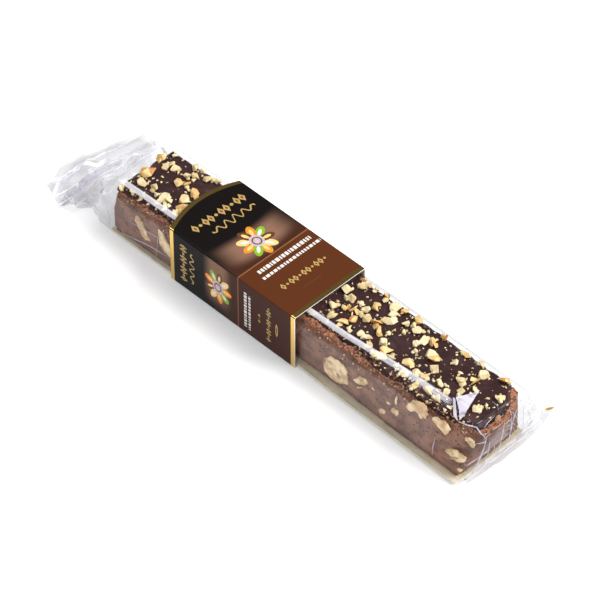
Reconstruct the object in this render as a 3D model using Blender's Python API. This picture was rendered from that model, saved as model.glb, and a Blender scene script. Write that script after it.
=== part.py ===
"""A wrapped nougat bar: a cocoa nougat block with a chocolate top and chopped nuts.

The block lies on a thin board inside a clear flow wrap, whose two ends are crimped shut,
and a printed card sleeve is folded round the middle of it all.
Metres, +Z up, +X along the bar, +Y to its far side. The origin is on the underside of the
sleeve, halfway along the board. Every piece keeps a gap of 0.3 mm to its neighbours.
"""

import math
import random

import bmesh
import bpy
from mathutils import Matrix, Vector, noise

MM = 0.001

# Driving dimensions
BOARD_LENGTH = 200 * MM
SLEEVE_LENGTH = 72.5 * MM
SLEEVE_LEFT = -61.9 * MM
SLEEVE_WIDTH = 40.6 * MM
SLEEVE_HEIGHT = 29.0 * MM
SLEEVE_WALL = 0.4 * MM
SLEEVE_ARCH = 5.0 * MM
FOLD_RADIUS = 0.8 * MM
GAP = 0.3 * MM
SEAM_HALF = 0.3 * MM
FILM = 0.3 * MM
BOARD_THICKNESS = 0.5 * MM
BLOCK_WIDTH = 34.8 * MM
BLOCK_CENTRE = 0.8 * MM
BLOCK_HEIGHT = 21.8 * MM
BLOCK_LEFT = -98.3 * MM
CHOCOLATE_THICKNESS = 2.0 * MM
NUT_RISE = 1.25 * MM

# Heights and half widths that follow from them, from the floor up and from outside in
FILM_FLOOR = SLEEVE_WALL + GAP
BOARD_UNDERSIDE = FILM_FLOOR + FILM + GAP
BLOCK_UNDERSIDE = BOARD_UNDERSIDE + BOARD_THICKNESS + GAP
BLOCK_TOP = BLOCK_UNDERSIDE + BLOCK_HEIGHT
CHOCOLATE_UNDERSIDE = BLOCK_TOP + GAP
CHOCOLATE_TOP = CHOCOLATE_UNDERSIDE + CHOCOLATE_THICKNESS
FILM_ROOF = SLEEVE_HEIGHT - SLEEVE_WALL - GAP
FILM_HALF = SLEEVE_WIDTH / 2 - SLEEVE_WALL - GAP
BOARD_HALF = FILM_HALF - FILM - GAP
BLOCK_HALF = BLOCK_WIDTH / 2

# The block lies a little askew on the board: its right end is turned to the far side, where
# the block also gets a little narrower
SKEW = 0.0168
FAR_NARROWING = 1.4 * MM
NARROWING_STARTS = 15.0 * MM

# To the right of the sleeve the near side spreads at its foot: (place along the bar, how far)
# in mm, for the block and for the board with the film round it
BLOCK_SPREAD = ((10, 0), (30, 0.4), (48, 1.1), (62, 2.3), (86, 2.65), (100, 3.05))
BOARD_SPREAD = ((11, 0), (30, 0.7), (100, 1.6))

NEAR_EDGE_RADIUS = 4.2 * MM
FAR_EDGE_RADIUS = 1.8 * MM

# How far the chocolate stays back from the block's far side, and from its near side as
# (place along the bar, how far) in mm
CHOCOLATE_FAR_INSET = 1.1 * MM
CHOCOLATE_NEAR_INSETS = (
    (-98, 3.0), (-66, 4.4), (10, 5.6), (35, 4.9), (47, 3.8), (76, 2.9), (100, 2.4),
)

# The block's moulded right end leans out over the board: where its foot and its top are, how
# far its far corner falls back, and how far the near side leans in there
END_FOOT = 99.3 * MM
END_TOP = 105.4 * MM
NEAR_CORNER_BACK = 1.6 * MM
FAR_CORNER_BACK = 9.0 * MM
NEAR_CORNER_FULLNESS = 1.9
FAR_CORNER_FULLNESS = 1.6
BULGE_STARTS = 84.0 * MM
NEAR_LEAN_IN = 5.2 * MM
RIM_WIDTH = 3.8 * MM

# Whole nuts that the knife left standing in the near side: place along the bar, height,
# half length and half height
SIDE_NUTS = (
    (28.5, 9.8, 8.5, 4.6),
    (45.5, 14.2, 4.6, 3.2),
    (57.5, 7.2, 4.4, 3.4),
    (76.5, 19.0, 4.8, 3.2),
    (95.0, 8.0, 5.0, 3.0),
    (-84.0, 13.5, 3.2, 5.4),
    (-70.0, 15.0, 3.6, 5.6),
)
SIDE_NUT_RISE = 0.5 * MM

# Depth and fineness (noise cycles per metre) of the block's cut sides and of the crumbs on
# its upper edges
WAVE_DEPTH = 0.35 * MM
WAVE_GRAIN = 55
CRUMB_DEPTH = 0.7 * MM
CRUMB_GRAIN = 260

# The film's clearance to the block's near and far sides, the height at which its sides end,
# and how softly it bends over the top there
FILM_NEAR_CLEARANCE = 1.15 * MM
FILM_FAR_CLEARANCE = 0.85 * MM
FILM_SIDE_TOP = 22.5 * MM
FILM_BEND = 2.2 * MM

# Where the film leaves the board's two ends, and how far its roof is drawn to the right there
LEFT_BEND = -100.8 * MM
RIGHT_BEND = 100.8 * MM
LEFT_BEND_LEAN = 1.5 * MM
RIGHT_BEND_LEAN = 6.2 * MM

# The chopped nuts: their sizes, the least distance between two, and that under the sleeve,
# where they don't show
NUT_SIZES = (2.6 * MM, 4.9 * MM)
NUT_SPACING = 4.5 * MM
HIDDEN_NUT_SPACING = 8.5 * MM
NUT_TRIES = 2400

SEED = 11


def clear_scene():
    for obj in list(bpy.data.objects):
        bpy.data.objects.remove(obj, do_unlink=True)


def make_material(name, colour, roughness, alpha=1.0):
    material = bpy.data.materials.new(name)
    material.use_nodes = True
    shader = material.node_tree.nodes["Principled BSDF"]
    shader.inputs["Base Color"].default_value = (*colour, 1.0)
    shader.inputs["Roughness"].default_value = roughness
    shader.inputs["Metallic"].default_value = 0.0
    shader.inputs["Alpha"].default_value = alpha
    material.diffuse_color = (*colour, alpha)
    return material


def make_object(name, bm, material):
    mesh = bpy.data.meshes.new(name)
    bm.to_mesh(mesh)
    bm.free()
    mesh.materials.append(material)
    obj = bpy.data.objects.new(name, mesh)
    bpy.context.scene.collection.objects.link(obj)
    return obj


def make_solid(name, bm, material):
    bmesh.ops.recalc_face_normals(bm, faces=bm.faces)
    return make_object(name, bm, material)


def smoothstep(low, high, value):
    t = min(max((value - low) / (high - low), 0.0), 1.0)
    return t * t * (3.0 - 2.0 * t)


def along(stops, value):
    """The height of a line through stops, (place, height) pairs from left to right."""
    if value <= stops[0][0]:
        return stops[0][1]
    for (x0, y0), (x1, y1) in zip(stops, stops[1:]):
        if value <= x1:
            return y0 + (y1 - y0) * (value - x0) / (x1 - x0)
    return stops[-1][1]


def even_cuts(low, high, count):
    return [low + (high - low) * i / count for i in range(1, count)]


def cut_block(low, high, cuts):
    """A block from corner low to corner high, with its faces divided at the cuts of each axis."""
    bm = bmesh.new()
    centre = (low + high) / 2
    size = Matrix.Diagonal((*(high - low), 1.0))
    bmesh.ops.create_cube(bm, size=1.0, matrix=Matrix.Translation(centre) @ size)
    for axis, places in enumerate(cuts):
        normal = Vector((axis == 0, axis == 1, axis == 2))
        for place in places:
            geometry = bm.verts[:] + bm.edges[:] + bm.faces[:]
            bmesh.ops.bisect_plane(bm, geom=geometry, plane_co=normal * place, plane_no=normal)
    return bm


def end_at_top(y):
    """Where the block's upper right end lies at width y, its far corner rounded in plan."""
    if y < 0:
        return END_TOP - NEAR_CORNER_BACK * (-y / BLOCK_HALF) ** NEAR_CORNER_FULLNESS
    return END_TOP - FAR_CORNER_BACK * (y / BLOCK_HALF) ** FAR_CORNER_FULLNESS


def end_at(y, z):
    foot = END_FOOT - 1.0 * MM * (y / BLOCK_HALF) ** 2
    share = max(z - BLOCK_UNDERSIDE, 0.0) / BLOCK_HEIGHT
    return foot + (end_at_top(y) - foot) * share**0.85


def lean_in(x, y, z):
    """How far a point at the block's right end is drawn in from the near side."""
    share = (z - BLOCK_UNDERSIDE) / BLOCK_HEIGHT
    nearness = max(BLOCK_HALF - y, 0.0) / BLOCK_WIDTH
    return NEAR_LEAN_IN * share * nearness**1.6 * smoothstep(BULGE_STARTS, END_TOP, x)


def far_side_in(x):
    """How much nearer the block's far side is at x than its width says."""
    return FAR_NARROWING * smoothstep(NARROWING_STARTS, RIGHT_BEND, x)


def on_board(point):
    """Puts a point of the block, drawn about its own middle, in its place on the board."""
    farness = (point.y + BLOCK_HALF) / BLOCK_WIDTH
    y = point.y + BLOCK_CENTRE + SKEW * point.x - far_side_in(point.x) * farness
    drop = min(max((BLOCK_TOP - point.z) / BLOCK_HEIGHT, 0.0), 1.0)
    y -= along(BLOCK_SPREAD, point.x / MM) * MM * drop * min(max(1.0 - farness, 0.0), 1.0)
    return Vector((point.x, y, point.z))


def board_spread(x):
    return along(BOARD_SPREAD, x / MM) * MM


def rounded_edge(point, radius):
    """Moves a point near one of the block's two long upper edges onto a round edge."""
    across = abs(point.y) - (BLOCK_HALF - radius)
    up = point.z - (BLOCK_TOP - radius)
    if across <= 0 or up <= 0:
        return point
    scale = max(across, up) / math.hypot(across, up)
    side = math.copysign(1.0, point.y)
    y = side * (BLOCK_HALF - radius + across * scale)
    return Vector((point.x, y, BLOCK_TOP - radius + up * scale))


def side_nut_relief(x, z):
    """How far a whole nut stands out of the near side at (x, z)."""
    rise = 0.0
    for centre, height, half_length, half_height in SIDE_NUTS:
        reach = math.hypot((x / MM - centre) / half_length, (z / MM - height) / half_height)
        rise = max(rise, SIDE_NUT_RISE * (1.0 - smoothstep(0.6, 1.3, reach)))
    return rise


def nougat_body(material):
    low = Vector((BLOCK_LEFT, -BLOCK_HALF, BLOCK_UNDERSIDE))
    high = Vector((END_FOOT, BLOCK_HALF, BLOCK_TOP))
    near = NEAR_EDGE_RADIUS - BLOCK_HALF
    far = BLOCK_HALF - FAR_EDGE_RADIUS
    across = [near - NEAR_EDGE_RADIUS * 0.55, near, *even_cuts(near, far, 4)]
    across += [far, far + FAR_EDGE_RADIUS * 0.55]
    shoulder = BLOCK_TOP - NEAR_EDGE_RADIUS
    up = even_cuts(BLOCK_UNDERSIDE, shoulder, 4)
    up += [shoulder, BLOCK_TOP - FAR_EDGE_RADIUS, BLOCK_TOP - FAR_EDGE_RADIUS * 0.45]
    bm = cut_block(low, high, (even_cuts(BLOCK_LEFT, END_FOOT, 46), across, up))
    for vert in bm.verts:
        start = vert.co.copy()
        on_side = abs(start.y) > BLOCK_HALF - 0.01 * MM
        on_left = start.x < BLOCK_LEFT + 0.01 * MM
        on_right = start.x > END_FOOT - 0.01 * MM
        point = rounded_edge(start, NEAR_EDGE_RADIUS if start.y < 0 else FAR_EDGE_RADIUS)
        stretch = smoothstep(BULGE_STARTS, END_FOOT, point.x)
        point.x += (end_at(point.y, point.z) - END_FOOT) * stretch
        crumbly = smoothstep(BLOCK_TOP - 8 * MM, BLOCK_TOP - 3 * MM, start.z)
        crumb = (noise.noise(point * CRUMB_GRAIN) - 0.35) * CRUMB_DEPTH * crumbly
        wave = noise.noise(point * WAVE_GRAIN + Vector((3, 1, 2))) * WAVE_DEPTH
        point.y += lean_in(point.x, point.y, point.z)
        if on_side:
            side = math.copysign(1.0, start.y)
            relief = side_nut_relief(point.x, point.z) if side < 0 else 0.0
            point.y += side * (crumb + wave + relief)
        if on_left or on_right:
            point.x += (crumb + wave) * (1 if on_right else -1)
        if start.z > shoulder - 0.01 * MM:
            point.z -= abs(crumb) * 0.6
        vert.co = on_board(point)
    return make_solid("nougat_body", bm, material)


def chocolate_near(x):
    return along(CHOCOLATE_NEAR_INSETS, x / MM) * MM - BLOCK_HALF


def chocolate_outline(along_share, across_share):
    """A point of the chocolate's uneven plan outline or inside it, from two shares of 0 to 1."""
    far = BLOCK_HALF - CHOCOLATE_FAR_INSET
    left = BLOCK_LEFT + 0.3 * MM
    right = end_at_top((2 * across_share - 1) * far) - RIM_WIDTH
    x = left + (right - left) * along_share
    near = chocolate_near(x)
    y = near + (far - near) * across_share
    y += lean_in(x, y, BLOCK_TOP)
    ragged = Vector((x, y, 0)) * 160
    edge = max(abs(across_share - 0.5), abs(along_share - 0.5)) * 2
    shift = 0.7 * MM * smoothstep(0.8, 1.0, edge)
    x += shift * noise.noise(ragged)
    y += shift * noise.noise(ragged + Vector((7, 5, 3)))
    return x, y


def chocolate_slab():
    columns, rows = 42, 6
    bm = bmesh.new()
    bmesh.ops.create_grid(bm, x_segments=columns, y_segments=rows, size=0.5)
    for vert in bm.verts:
        along_share = vert.co.x + 0.5
        across_share = vert.co.y + 0.5
        x, y = chocolate_outline(along_share, across_share)
        edge_in = min(along_share * columns, (1 - along_share) * columns)
        edge_in = min(edge_in, across_share * rows, (1 - across_share) * rows)
        lip = 0.55 * MM * (1.0 - smoothstep(0.0, 0.9, edge_in))
        wave = 0.28 * MM * noise.noise(Vector((x, y, 0)) * 130)
        vert.co = on_board(Vector((x, y, CHOCOLATE_TOP - lip + wave)))
    rim = [edge for edge in bm.edges if edge.is_boundary]
    skirt = bmesh.ops.extrude_edge_only(bm, edges=rim)["geom"]
    for vert in (item for item in skirt if isinstance(item, bmesh.types.BMVert)):
        vert.co.z = CHOCOLATE_UNDERSIDE
    low_rim = [edge for edge in bm.edges if edge.is_boundary]
    bmesh.ops.contextual_create(bm, geom=low_rim)
    return bm


def chopped_nut(name, centre, size, rise, draw):
    """A piece of chopped nut: the hull of a few points on a flattened, turned ellipsoid."""
    bm = bmesh.new()
    long_half = size / 2
    short_half = long_half * draw.uniform(0.6, 0.85)
    turn = Matrix.Rotation(draw.uniform(0, math.pi), 3, "Z")
    tilt = Matrix.Rotation(draw.uniform(-0.3, 0.3), 3, "X")
    corners = 5
    top_z = centre.z + rise
    foot_z = centre.z - 1.0 * MM
    for level, share in ((top_z, 0.62), (centre.z + rise * 0.2, 1.0), (foot_z, 0.8)):
        start = draw.uniform(0, 1)
        for corner in range(corners if share == 1.0 else corners - 1):
            angle = 2 * math.pi * (corner + start + draw.uniform(-0.25, 0.25)) / corners
            reach = share * draw.uniform(0.82, 1.05)
            flat = Vector((math.cos(angle) * long_half, math.sin(angle) * short_half, 0))
            place = turn @ tilt @ (flat * reach)
            place.z = level - centre.z
            if level == top_z:
                place.z -= draw.uniform(0, 0.35) * rise
            bm.verts.new(centre + place)
    hull = bmesh.ops.convex_hull(bm, input=bm.verts)
    bmesh.ops.delete(bm, geom=hull["geom_interior"], context="VERTS")
    bmesh.ops.recalc_face_normals(bm, faces=bm.faces)
    mesh = bpy.data.meshes.new(name)
    bm.to_mesh(mesh)
    bm.free()
    return bpy.data.objects.new(name, mesh)


def nut_places(draw):
    """Seeded places for the nuts, the largest first, no two closer than their sizes allow."""
    left = BLOCK_LEFT + 2.6 * MM
    near = -BLOCK_HALF + 4.8 * MM
    far = BLOCK_HALF - CHOCOLATE_FAR_INSET - 2.4 * MM
    placed = []
    sizes = [draw.uniform(*NUT_SIZES) for _ in range(NUT_TRIES)]
    for size in sorted(sizes, reverse=True):
        y = draw.uniform(near, far)
        x = draw.uniform(left, end_at_top(y) - RIM_WIDTH - 2.8 * MM)
        y = max(y, chocolate_near(x) + 2.4 * MM)
        y += lean_in(x, y, BLOCK_TOP)
        under_sleeve = SLEEVE_LEFT + 3 * MM < x < SLEEVE_LEFT + SLEEVE_LENGTH - 3 * MM
        spacing = HIDDEN_NUT_SPACING if under_sleeve else NUT_SPACING
        if all(math.hypot(x - a, y - b) > spacing for a, b, _ in placed):
            placed.append((x, y, size))
    return placed


def chocolate_top(material):
    draw = random.Random(SEED)
    slab = make_solid("chocolate_top", chocolate_slab(), material)
    nuts = bpy.data.collections.new("chopped nuts")
    bpy.context.scene.collection.children.link(nuts)
    for index, (x, y, size) in enumerate(nut_places(draw)):
        near_edge = smoothstep(BLOCK_HALF - 8 * MM, BLOCK_HALF - 4 * MM, abs(y))
        rise = NUT_RISE * draw.uniform(0.75, 1.0) * (1.0 - 0.35 * near_edge)
        centre = on_board(Vector((x, y, CHOCOLATE_TOP)))
        nuts.objects.link(chopped_nut(f"nut_{index}", centre, size, rise, draw))
    join = slab.modifiers.new("nuts", "BOOLEAN")
    join.operation = "UNION"
    join.operand_type = "COLLECTION"
    join.collection = nuts
    join.solver = "EXACT"
    evaluated = slab.evaluated_get(bpy.context.evaluated_depsgraph_get())
    joined = bpy.data.meshes.new_from_object(evaluated)
    slab.modifiers.remove(join)
    slab.data = joined
    for obj in list(nuts.objects):
        bpy.data.objects.remove(obj, do_unlink=True)
    bpy.data.collections.remove(nuts)
    return slab


def card_base(material):
    """The thin board that the block lies on, with its corners nipped off."""
    length = BOARD_LENGTH / 2
    low = Vector((-length, -BOARD_HALF, BOARD_UNDERSIDE))
    high = Vector((length, BOARD_HALF, BOARD_UNDERSIDE + BOARD_THICKNESS))
    bends = [place * MM for place, _ in BOARD_SPREAD[:-1]]
    bm = cut_block(low, high, (bends, (), ()))
    for vert in bm.verts:
        if vert.co.y < 0:
            vert.co.y -= board_spread(vert.co.x)
    uprights = [
        edge
        for edge in bm.edges
        if abs(edge.verts[0].co.z - edge.verts[1].co.z) > 0.1 * MM
        and abs(edge.verts[0].co.x) > length - 0.1 * MM
    ]
    bmesh.ops.bevel(
        bm, geom=uprights, offset=0.8 * MM, affect="EDGES", segments=2, profile=0.5, material=-1
    )
    return make_solid("card_base", bm, material)


def sleeve_section(half, low, high, radius):
    """The sleeve's cross section as (y, z) points, with rounded folds and a divided top."""
    corners = ((half, low, -90), (half, high, 0), (-half, high, 90), (-half, low, 180))
    steps = 3
    section = []
    for y, z, first in corners:
        centre_y = y - math.copysign(radius, y)
        centre_z = z + radius if z == low else z - radius
        for step in range(steps + 1):
            angle = math.radians(first + 90 * step / steps)
            section.append(
                (centre_y + radius * math.cos(angle), centre_z + radius * math.sin(angle))
            )
        if z == high and y > 0:
            span = half - radius
            section += [(span - 2 * span * i / 14, high) for i in range(1, 14)]
    return section


def sleeve_end(section, side):
    """One end of the sleeve: straight, but for the arched edge of the top panel on the left."""
    points = []
    for y, z in section:
        x = SLEEVE_LEFT + (SLEEVE_LENGTH if side > 0 else 0.0)
        if side < 0 and z > SLEEVE_HEIGHT / 2:
            on_top = smoothstep(SLEEVE_HEIGHT - 1.5 * MM, SLEEVE_HEIGHT - SLEEVE_WALL, z)
            x -= SLEEVE_ARCH * (1.0 - (y / (SLEEVE_WIDTH / 2)) ** 2) * on_top
        points.append(Vector((x, y, z)))
    return points


def ring_edges(bm, points):
    verts = [bm.verts.new(point) for point in points]
    return [bm.edges.new((a, b)) for a, b in zip(verts, verts[1:] + verts[:1])]


def card_sleeve(material):
    """An open tube: the outer and inner sections at each end, bridged in turn."""
    half = SLEEVE_WIDTH / 2
    outer = sleeve_section(half, 0.0, SLEEVE_HEIGHT, FOLD_RADIUS)
    inner_radius = FOLD_RADIUS - SLEEVE_WALL
    inner = sleeve_section(
        half - SLEEVE_WALL, SLEEVE_WALL, SLEEVE_HEIGHT - SLEEVE_WALL, inner_radius
    )
    bm = bmesh.new()
    rings = [
        ring_edges(bm, sleeve_end(section, side))
        for section, side in ((outer, -1), (outer, 1), (inner, 1), (inner, -1))
    ]
    for first, second in zip(rings, rings[1:] + rings[:1]):
        bmesh.ops.bridge_loops(bm, edges=first + second)
    return make_solid("card_sleeve", bm, material)


def wrap_section(x):
    """The film's cross section at x, from the near edge of the back seam up and over to the far.

    It leans in from the board's edges and bends over the block's top in two soft shoulders,
    which follow the block's skew.
    """
    middle = BLOCK_CENTRE + SKEW * x
    near_head = middle - BLOCK_HALF - FILM_NEAR_CLEARANCE
    far_head = middle + BLOCK_HALF + FILM_FAR_CLEARANCE - far_side_in(x)
    near_bend = FILM_BEND * (1.0 + 0.5 * smoothstep(5 * MM, 60 * MM, x))
    far_bend = FILM_BEND * 0.7
    half_section = []
    for side, head, bend in ((-1, near_head, near_bend), (1, far_head, far_bend)):
        foot = side * FILM_HALF - (board_spread(x) if side < 0 else 0.0)
        points = [(side * SEAM_HALF, FILM_FLOOR)]
        points += [(foot * share, FILM_FLOOR) for share in (0.34, 0.68, 0.975)]
        points.append((foot, FILM_FLOOR + 0.5 * MM))
        for height in (5 * MM, 9.5 * MM, 13.5 * MM, 18 * MM, FILM_SIDE_TOP):
            share = (height - FILM_FLOOR) / (FILM_SIDE_TOP - FILM_FLOOR)
            points.append((foot + (head - foot) * share, height))
        points += [
            (head - side * bend * 0.25, FILM_SIDE_TOP + 2.6 * MM),
            (head - side * bend, FILM_SIDE_TOP + 4.6 * MM),
            (head - side * bend * 2.3, FILM_ROOF - 0.12 * MM),
            (side * 6.6 * MM, FILM_ROOF),
            (side * 3.3 * MM, FILM_ROOF),
        ]
        half_section.append(points)
    near, far = half_section
    return [*near, (0.0, FILM_ROOF), *reversed(far)]


def half_length_shares(section):
    """For each point of a section, its length of film from the seam, and the half's whole."""
    middle = len(section) // 2
    lengths = [0.0]
    for (y0, z0), (y1, z1) in zip(section, section[1:]):
        lengths.append(lengths[-1] + math.hypot(y1 - y0, z1 - z0))
    near_whole = lengths[middle]
    far_whole = lengths[-1] - near_whole
    near = [(length, near_whole) for length in lengths[: middle + 1]]
    far = [(lengths[-1] - length, far_whole) for length in lengths[middle + 1 :]]
    return near + far


def full_ring(x, lean=0.0):
    """The open section at x, its roof drawn to the right by lean."""
    return [
        Vector((x + lean * (z - FILM_FLOOR) / (FILM_ROOF - FILM_FLOOR), y, z))
        for y, z in wrap_section(x)
    ]


def crimped_ring(section, near_fit, far_fit, place, height, ripple):
    """The film pressed flat: the lower and upper halves a millimetre apart, folds at both sides.

    place and height give the line of the crimp as functions of the width y.
    """
    ring = []
    layer = 0.5 * MM
    middle = len(section) // 2
    for index, (length, whole) in enumerate(half_length_shares(section)):
        fit = near_fit if index <= middle else far_fit
        side = -1 if index <= middle else 1
        spread = min(length, whole - length)
        y = side * (spread * fit + SEAM_HALF)
        fold = smoothstep(0.0, 2.5 * MM, abs(length - whole / 2))
        level = layer * fold * (-1 if length < whole / 2 else 1)
        wave = ripple * math.sin(y / (2.3 * MM)) * smoothstep(0.0, 6 * MM, abs(y))
        ring.append(Vector((place(y), y, height(y) + level + wave)))
    return ring


def between(start, end, share, pleat):
    """A ring on the straight film between two rings, with pleats that fade out at both."""
    ring = []
    count = len(start) - 1
    for index, (a, b) in enumerate(zip(start, end)):
        point = a.lerp(b, share)
        fade = math.sin(math.pi * share)
        around = index / count
        lift = math.sin(around * 2 * math.pi * 9) * pleat * fade
        if 0.25 < around < 0.75:
            point.z -= abs(lift)
        ring.append(point)
    return ring


def left_end_rings(section, bar_ring):
    """From the cut edge of the left crimp inwards to the bar.

    Each line below gives (width, place) pairs in mm across the crimp.
    """
    edge_x = ((-26, -128), (-21, -139), (-7, -142.5), (33, -132.5))
    edge_z = ((-26, 2.2), (-20, 4.5), (-7, 5.5), (10, 4.0), (32, 2.2))
    inner_x = ((-26, -121), (-20, -128), (-7, -131), (32, -124))
    inner_z = ((-26, 2.2), (-12, 5.0), (10, 4.4), (32, 2.4))

    def line(stops):
        return lambda y: along(stops, y / MM) * MM

    cut = crimped_ring(section, 0.78, 1.04, line(edge_x), line(edge_z), 0.5 * MM)
    crimp = crimped_ring(section, 0.8, 1.03, line(inner_x), line(inner_z), 0.35 * MM)
    slope = [between(crimp, bar_ring, share, 0.9 * MM) for share in (0.2, 0.4, 0.6, 0.8)]
    return [cut, crimp, *slope]


def right_end_rings(section, bar_ring):
    """From the bar outwards to the cut edge of the right crimp, folded down against the end.

    Each line below gives (width, place) pairs in mm across the crimp.
    """
    inner_x = ((-18, 101.6), (0, 102.2), (14, 103.6), (24, 104.6), (32, 103.4))
    inner_z = ((-18, 1.4), (0, 2.4), (14, 5.0), (24, 9.0), (32, 11.5))
    edge_x = ((-18, 103.0), (0, 105.2), (14, 107.2), (24, 107.6), (32, 105.4))
    edge_z = ((-18, 1.2), (0, 2.2), (14, 5.4), (24, 10.2), (32, 12.5))

    def line(stops):
        return lambda y: along(stops, y / MM) * MM

    crimp = crimped_ring(section, 0.58, 0.96, line(inner_x), line(inner_z), 0.3 * MM)
    cut = crimped_ring(section, 0.58, 0.97, line(edge_x), line(edge_z), 0.5 * MM)
    slope = [between(bar_ring, crimp, share, 0.5 * MM) for share in (0.3, 0.6)]
    return [*slope, crimp, cut]


def clear_wrap(material):
    """The flow wrap: rings of film from crimp to crimp, skinned, then thickened inwards."""
    left_bar = full_ring(LEFT_BEND, lean=LEFT_BEND_LEAN)
    right_bar = full_ring(RIGHT_BEND, lean=RIGHT_BEND_LEAN)
    runs = [full_ring(x * MM) for x in (-80, -62, 10, 30, 62, 94)]
    rings = left_end_rings(wrap_section(LEFT_BEND), left_bar)
    rings += [left_bar, *runs, right_bar]
    rings += right_end_rings(wrap_section(RIGHT_BEND), right_bar)
    bm = bmesh.new()
    rows = [[bm.verts.new(point) for point in ring] for ring in rings]
    for row, following in zip(rows, rows[1:]):
        for a, b, c, d in zip(row, row[1:], following[1:], following):
            bm.faces.new((d, c, b, a))
    wrap = make_object("clear_wrap", bm, material)
    skin = wrap.modifiers.new("film thickness", "SOLIDIFY")
    skin.thickness = FILM
    skin.offset = -1.0
    skin.use_rim = True
    return wrap


def main():
    clear_scene()
    nougat = make_material("cocoa nougat", (0.19, 0.093, 0.06), 0.75)
    chocolate = make_material("dark chocolate", (0.045, 0.018, 0.016), 0.4)
    board = make_material("pale board", (0.62, 0.53, 0.36), 0.6)
    printed = make_material("printed card", (0.035, 0.016, 0.01), 0.25)
    film = make_material("clear film", (0.93, 0.94, 0.96), 0.12, alpha=0.35)
    nougat_body(nougat)
    chocolate_top(chocolate)
    card_base(board)
    card_sleeve(printed)
    clear_wrap(film)


main()
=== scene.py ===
"""A wrapped nougat bar: the looks of the bar, its film, its board and its printed sleeve.

The frame is in metres, +X along the bar towards its moulded end, +Y to its far side, +Z up.
The block, the sleeve and the board follow the frame. The chocolate and the film are laid out
about the block's plan, whose sizes are those of the part. The nuts, the folds and the print
strip that the photograph shows are placed by the pixels where they are seen.
"""

import math
import random

import bmesh
import bpy
from bpy.props import FloatProperty, FloatVectorProperty, IntProperty, PointerProperty
from mathutils import Matrix, Vector, noise
from mathutils.bvhtree import BVHTree


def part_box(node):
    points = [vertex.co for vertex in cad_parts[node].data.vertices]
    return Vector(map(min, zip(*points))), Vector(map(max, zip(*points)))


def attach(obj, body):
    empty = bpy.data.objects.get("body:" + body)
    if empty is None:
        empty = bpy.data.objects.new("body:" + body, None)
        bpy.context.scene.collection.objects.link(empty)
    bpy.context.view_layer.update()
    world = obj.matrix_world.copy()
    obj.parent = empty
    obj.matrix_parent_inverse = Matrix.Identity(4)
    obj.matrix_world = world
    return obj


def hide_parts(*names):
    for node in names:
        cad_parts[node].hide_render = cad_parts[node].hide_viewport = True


bl_info = {
    "name": "Wrapped nougat bar",
    "version": (1, 0, 0),
    "blender": (4, 5, 0),
    "location": "View3D > Sidebar > Nougat bar",
    "description": "Builds the looks of a wrapped nougat bar around its CAD frame",
    "category": "Object",
}

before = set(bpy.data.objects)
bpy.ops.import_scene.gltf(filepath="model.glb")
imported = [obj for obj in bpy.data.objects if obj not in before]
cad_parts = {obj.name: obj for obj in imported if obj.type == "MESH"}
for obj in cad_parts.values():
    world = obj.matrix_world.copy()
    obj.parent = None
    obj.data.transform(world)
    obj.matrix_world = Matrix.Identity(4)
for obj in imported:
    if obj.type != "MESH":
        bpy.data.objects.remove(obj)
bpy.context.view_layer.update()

MM = 0.001

DOWN = Vector((0, 0, -1))
# A height above everything, from which the surfaces are probed
ABOVE = 60 * MM

# Boxes of the CAD pieces that the looks are built on
BLOCK_LOW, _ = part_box("nougat_body")
SLEEVE_LOW, SLEEVE_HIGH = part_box("card_sleeve")
SLEEVE_HALF = (SLEEVE_HIGH.y - SLEEVE_LOW.y) / 2

# The block's plan and section, as in the part's source
BLOCK_HALF = 17.4 * MM
BLOCK_CENTRE = 0.8 * MM
BLOCK_LEFT = -98.3 * MM
SKEW = 0.0168
FAR_NARROWING = 1.4 * MM
END_TOP = 105.4 * MM
RIM_WIDTH = 3.8 * MM
NEAR_LEAN_IN = 5.2 * MM
BULGE_STARTS = 84.0 * MM
# How the block tapers: where its far side starts to draw in, and where it ends
TAPER = (15 * MM, 100.8 * MM)

# The nougat's looks along the bar and by height: each pair is where a look starts and where
# it is full
COARSE_STARTS = (44 * MM, 60 * MM)
COARSE_ENDS = (96 * MM, 84 * MM)
CRUMBLY_LEVEL = (24.7 * MM, 25.6 * MM)
# The darker band below the crumbly edge is painted shade, where the rounded shoulder turns from the
# light
SHADE_BAND_LEVEL = (22.4 * MM, 25.2 * MM)
# The pits of its cut sides, drawn as dark chunks of painted shade: how many are drawn, between
# which places along the bar and which heights, and where the side is torn and has more of them
PIT_DRAWS = 1100
PIT_LENGTHS = (-97 * MM, 99 * MM)
PIT_HEIGHTS = (3 * MM, 21.5 * MM)
TORN_PART = (44 * MM, 94 * MM)

# The chocolate: its height, its insets from the block's sides, as (place along the bar, inset)
# in mm on the near side, its grid, and the steps of its edge, as (drop, shift outwards) in mm
POUR_TOP = 25.7 * MM
CHOCOLATE_FAR_INSET = 1.1 * MM
CHOCOLATE_NEAR_INSETS = (
    (-98, 3.0), (-66, 4.4), (10, 5.6), (35, 4.9), (47, 3.8), (76, 2.9), (100, 2.4),
)
CHOCOLATE_GRID = (400, 64)
CHOCOLATE_SKIRT = ((0.7, 0.35), (1.6, 0.3), (2.6, -0.2))
# The chopped nuts reach no higher than this, just under the film
NUT_CEILING = 28.05 * MM
# How many crumbs are drawn for the block's upper edges and for the chocolate's near edge
RIM_CRUMB_DRAWS = 1150
POUR_CRUMB_DRAWS = 520

# The sleeve: how far its left end bows out on top, its card and its foil bands
SLEEVE_ARCH = 5.0 * MM
SLEEVE_LEFT = SLEEVE_LOW.x + SLEEVE_ARCH
SLEEVE_WALL = 0.4 * MM
SLEEVE_FOLD = 0.8 * MM
BAND_WIDTH = 2.1 * MM
# Into how many steps its length, its top's width and each rounded fold are divided
SLEEVE_STEPS = 14
TOP_STEPS = 40
FOLD_STEPS = 6
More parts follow.
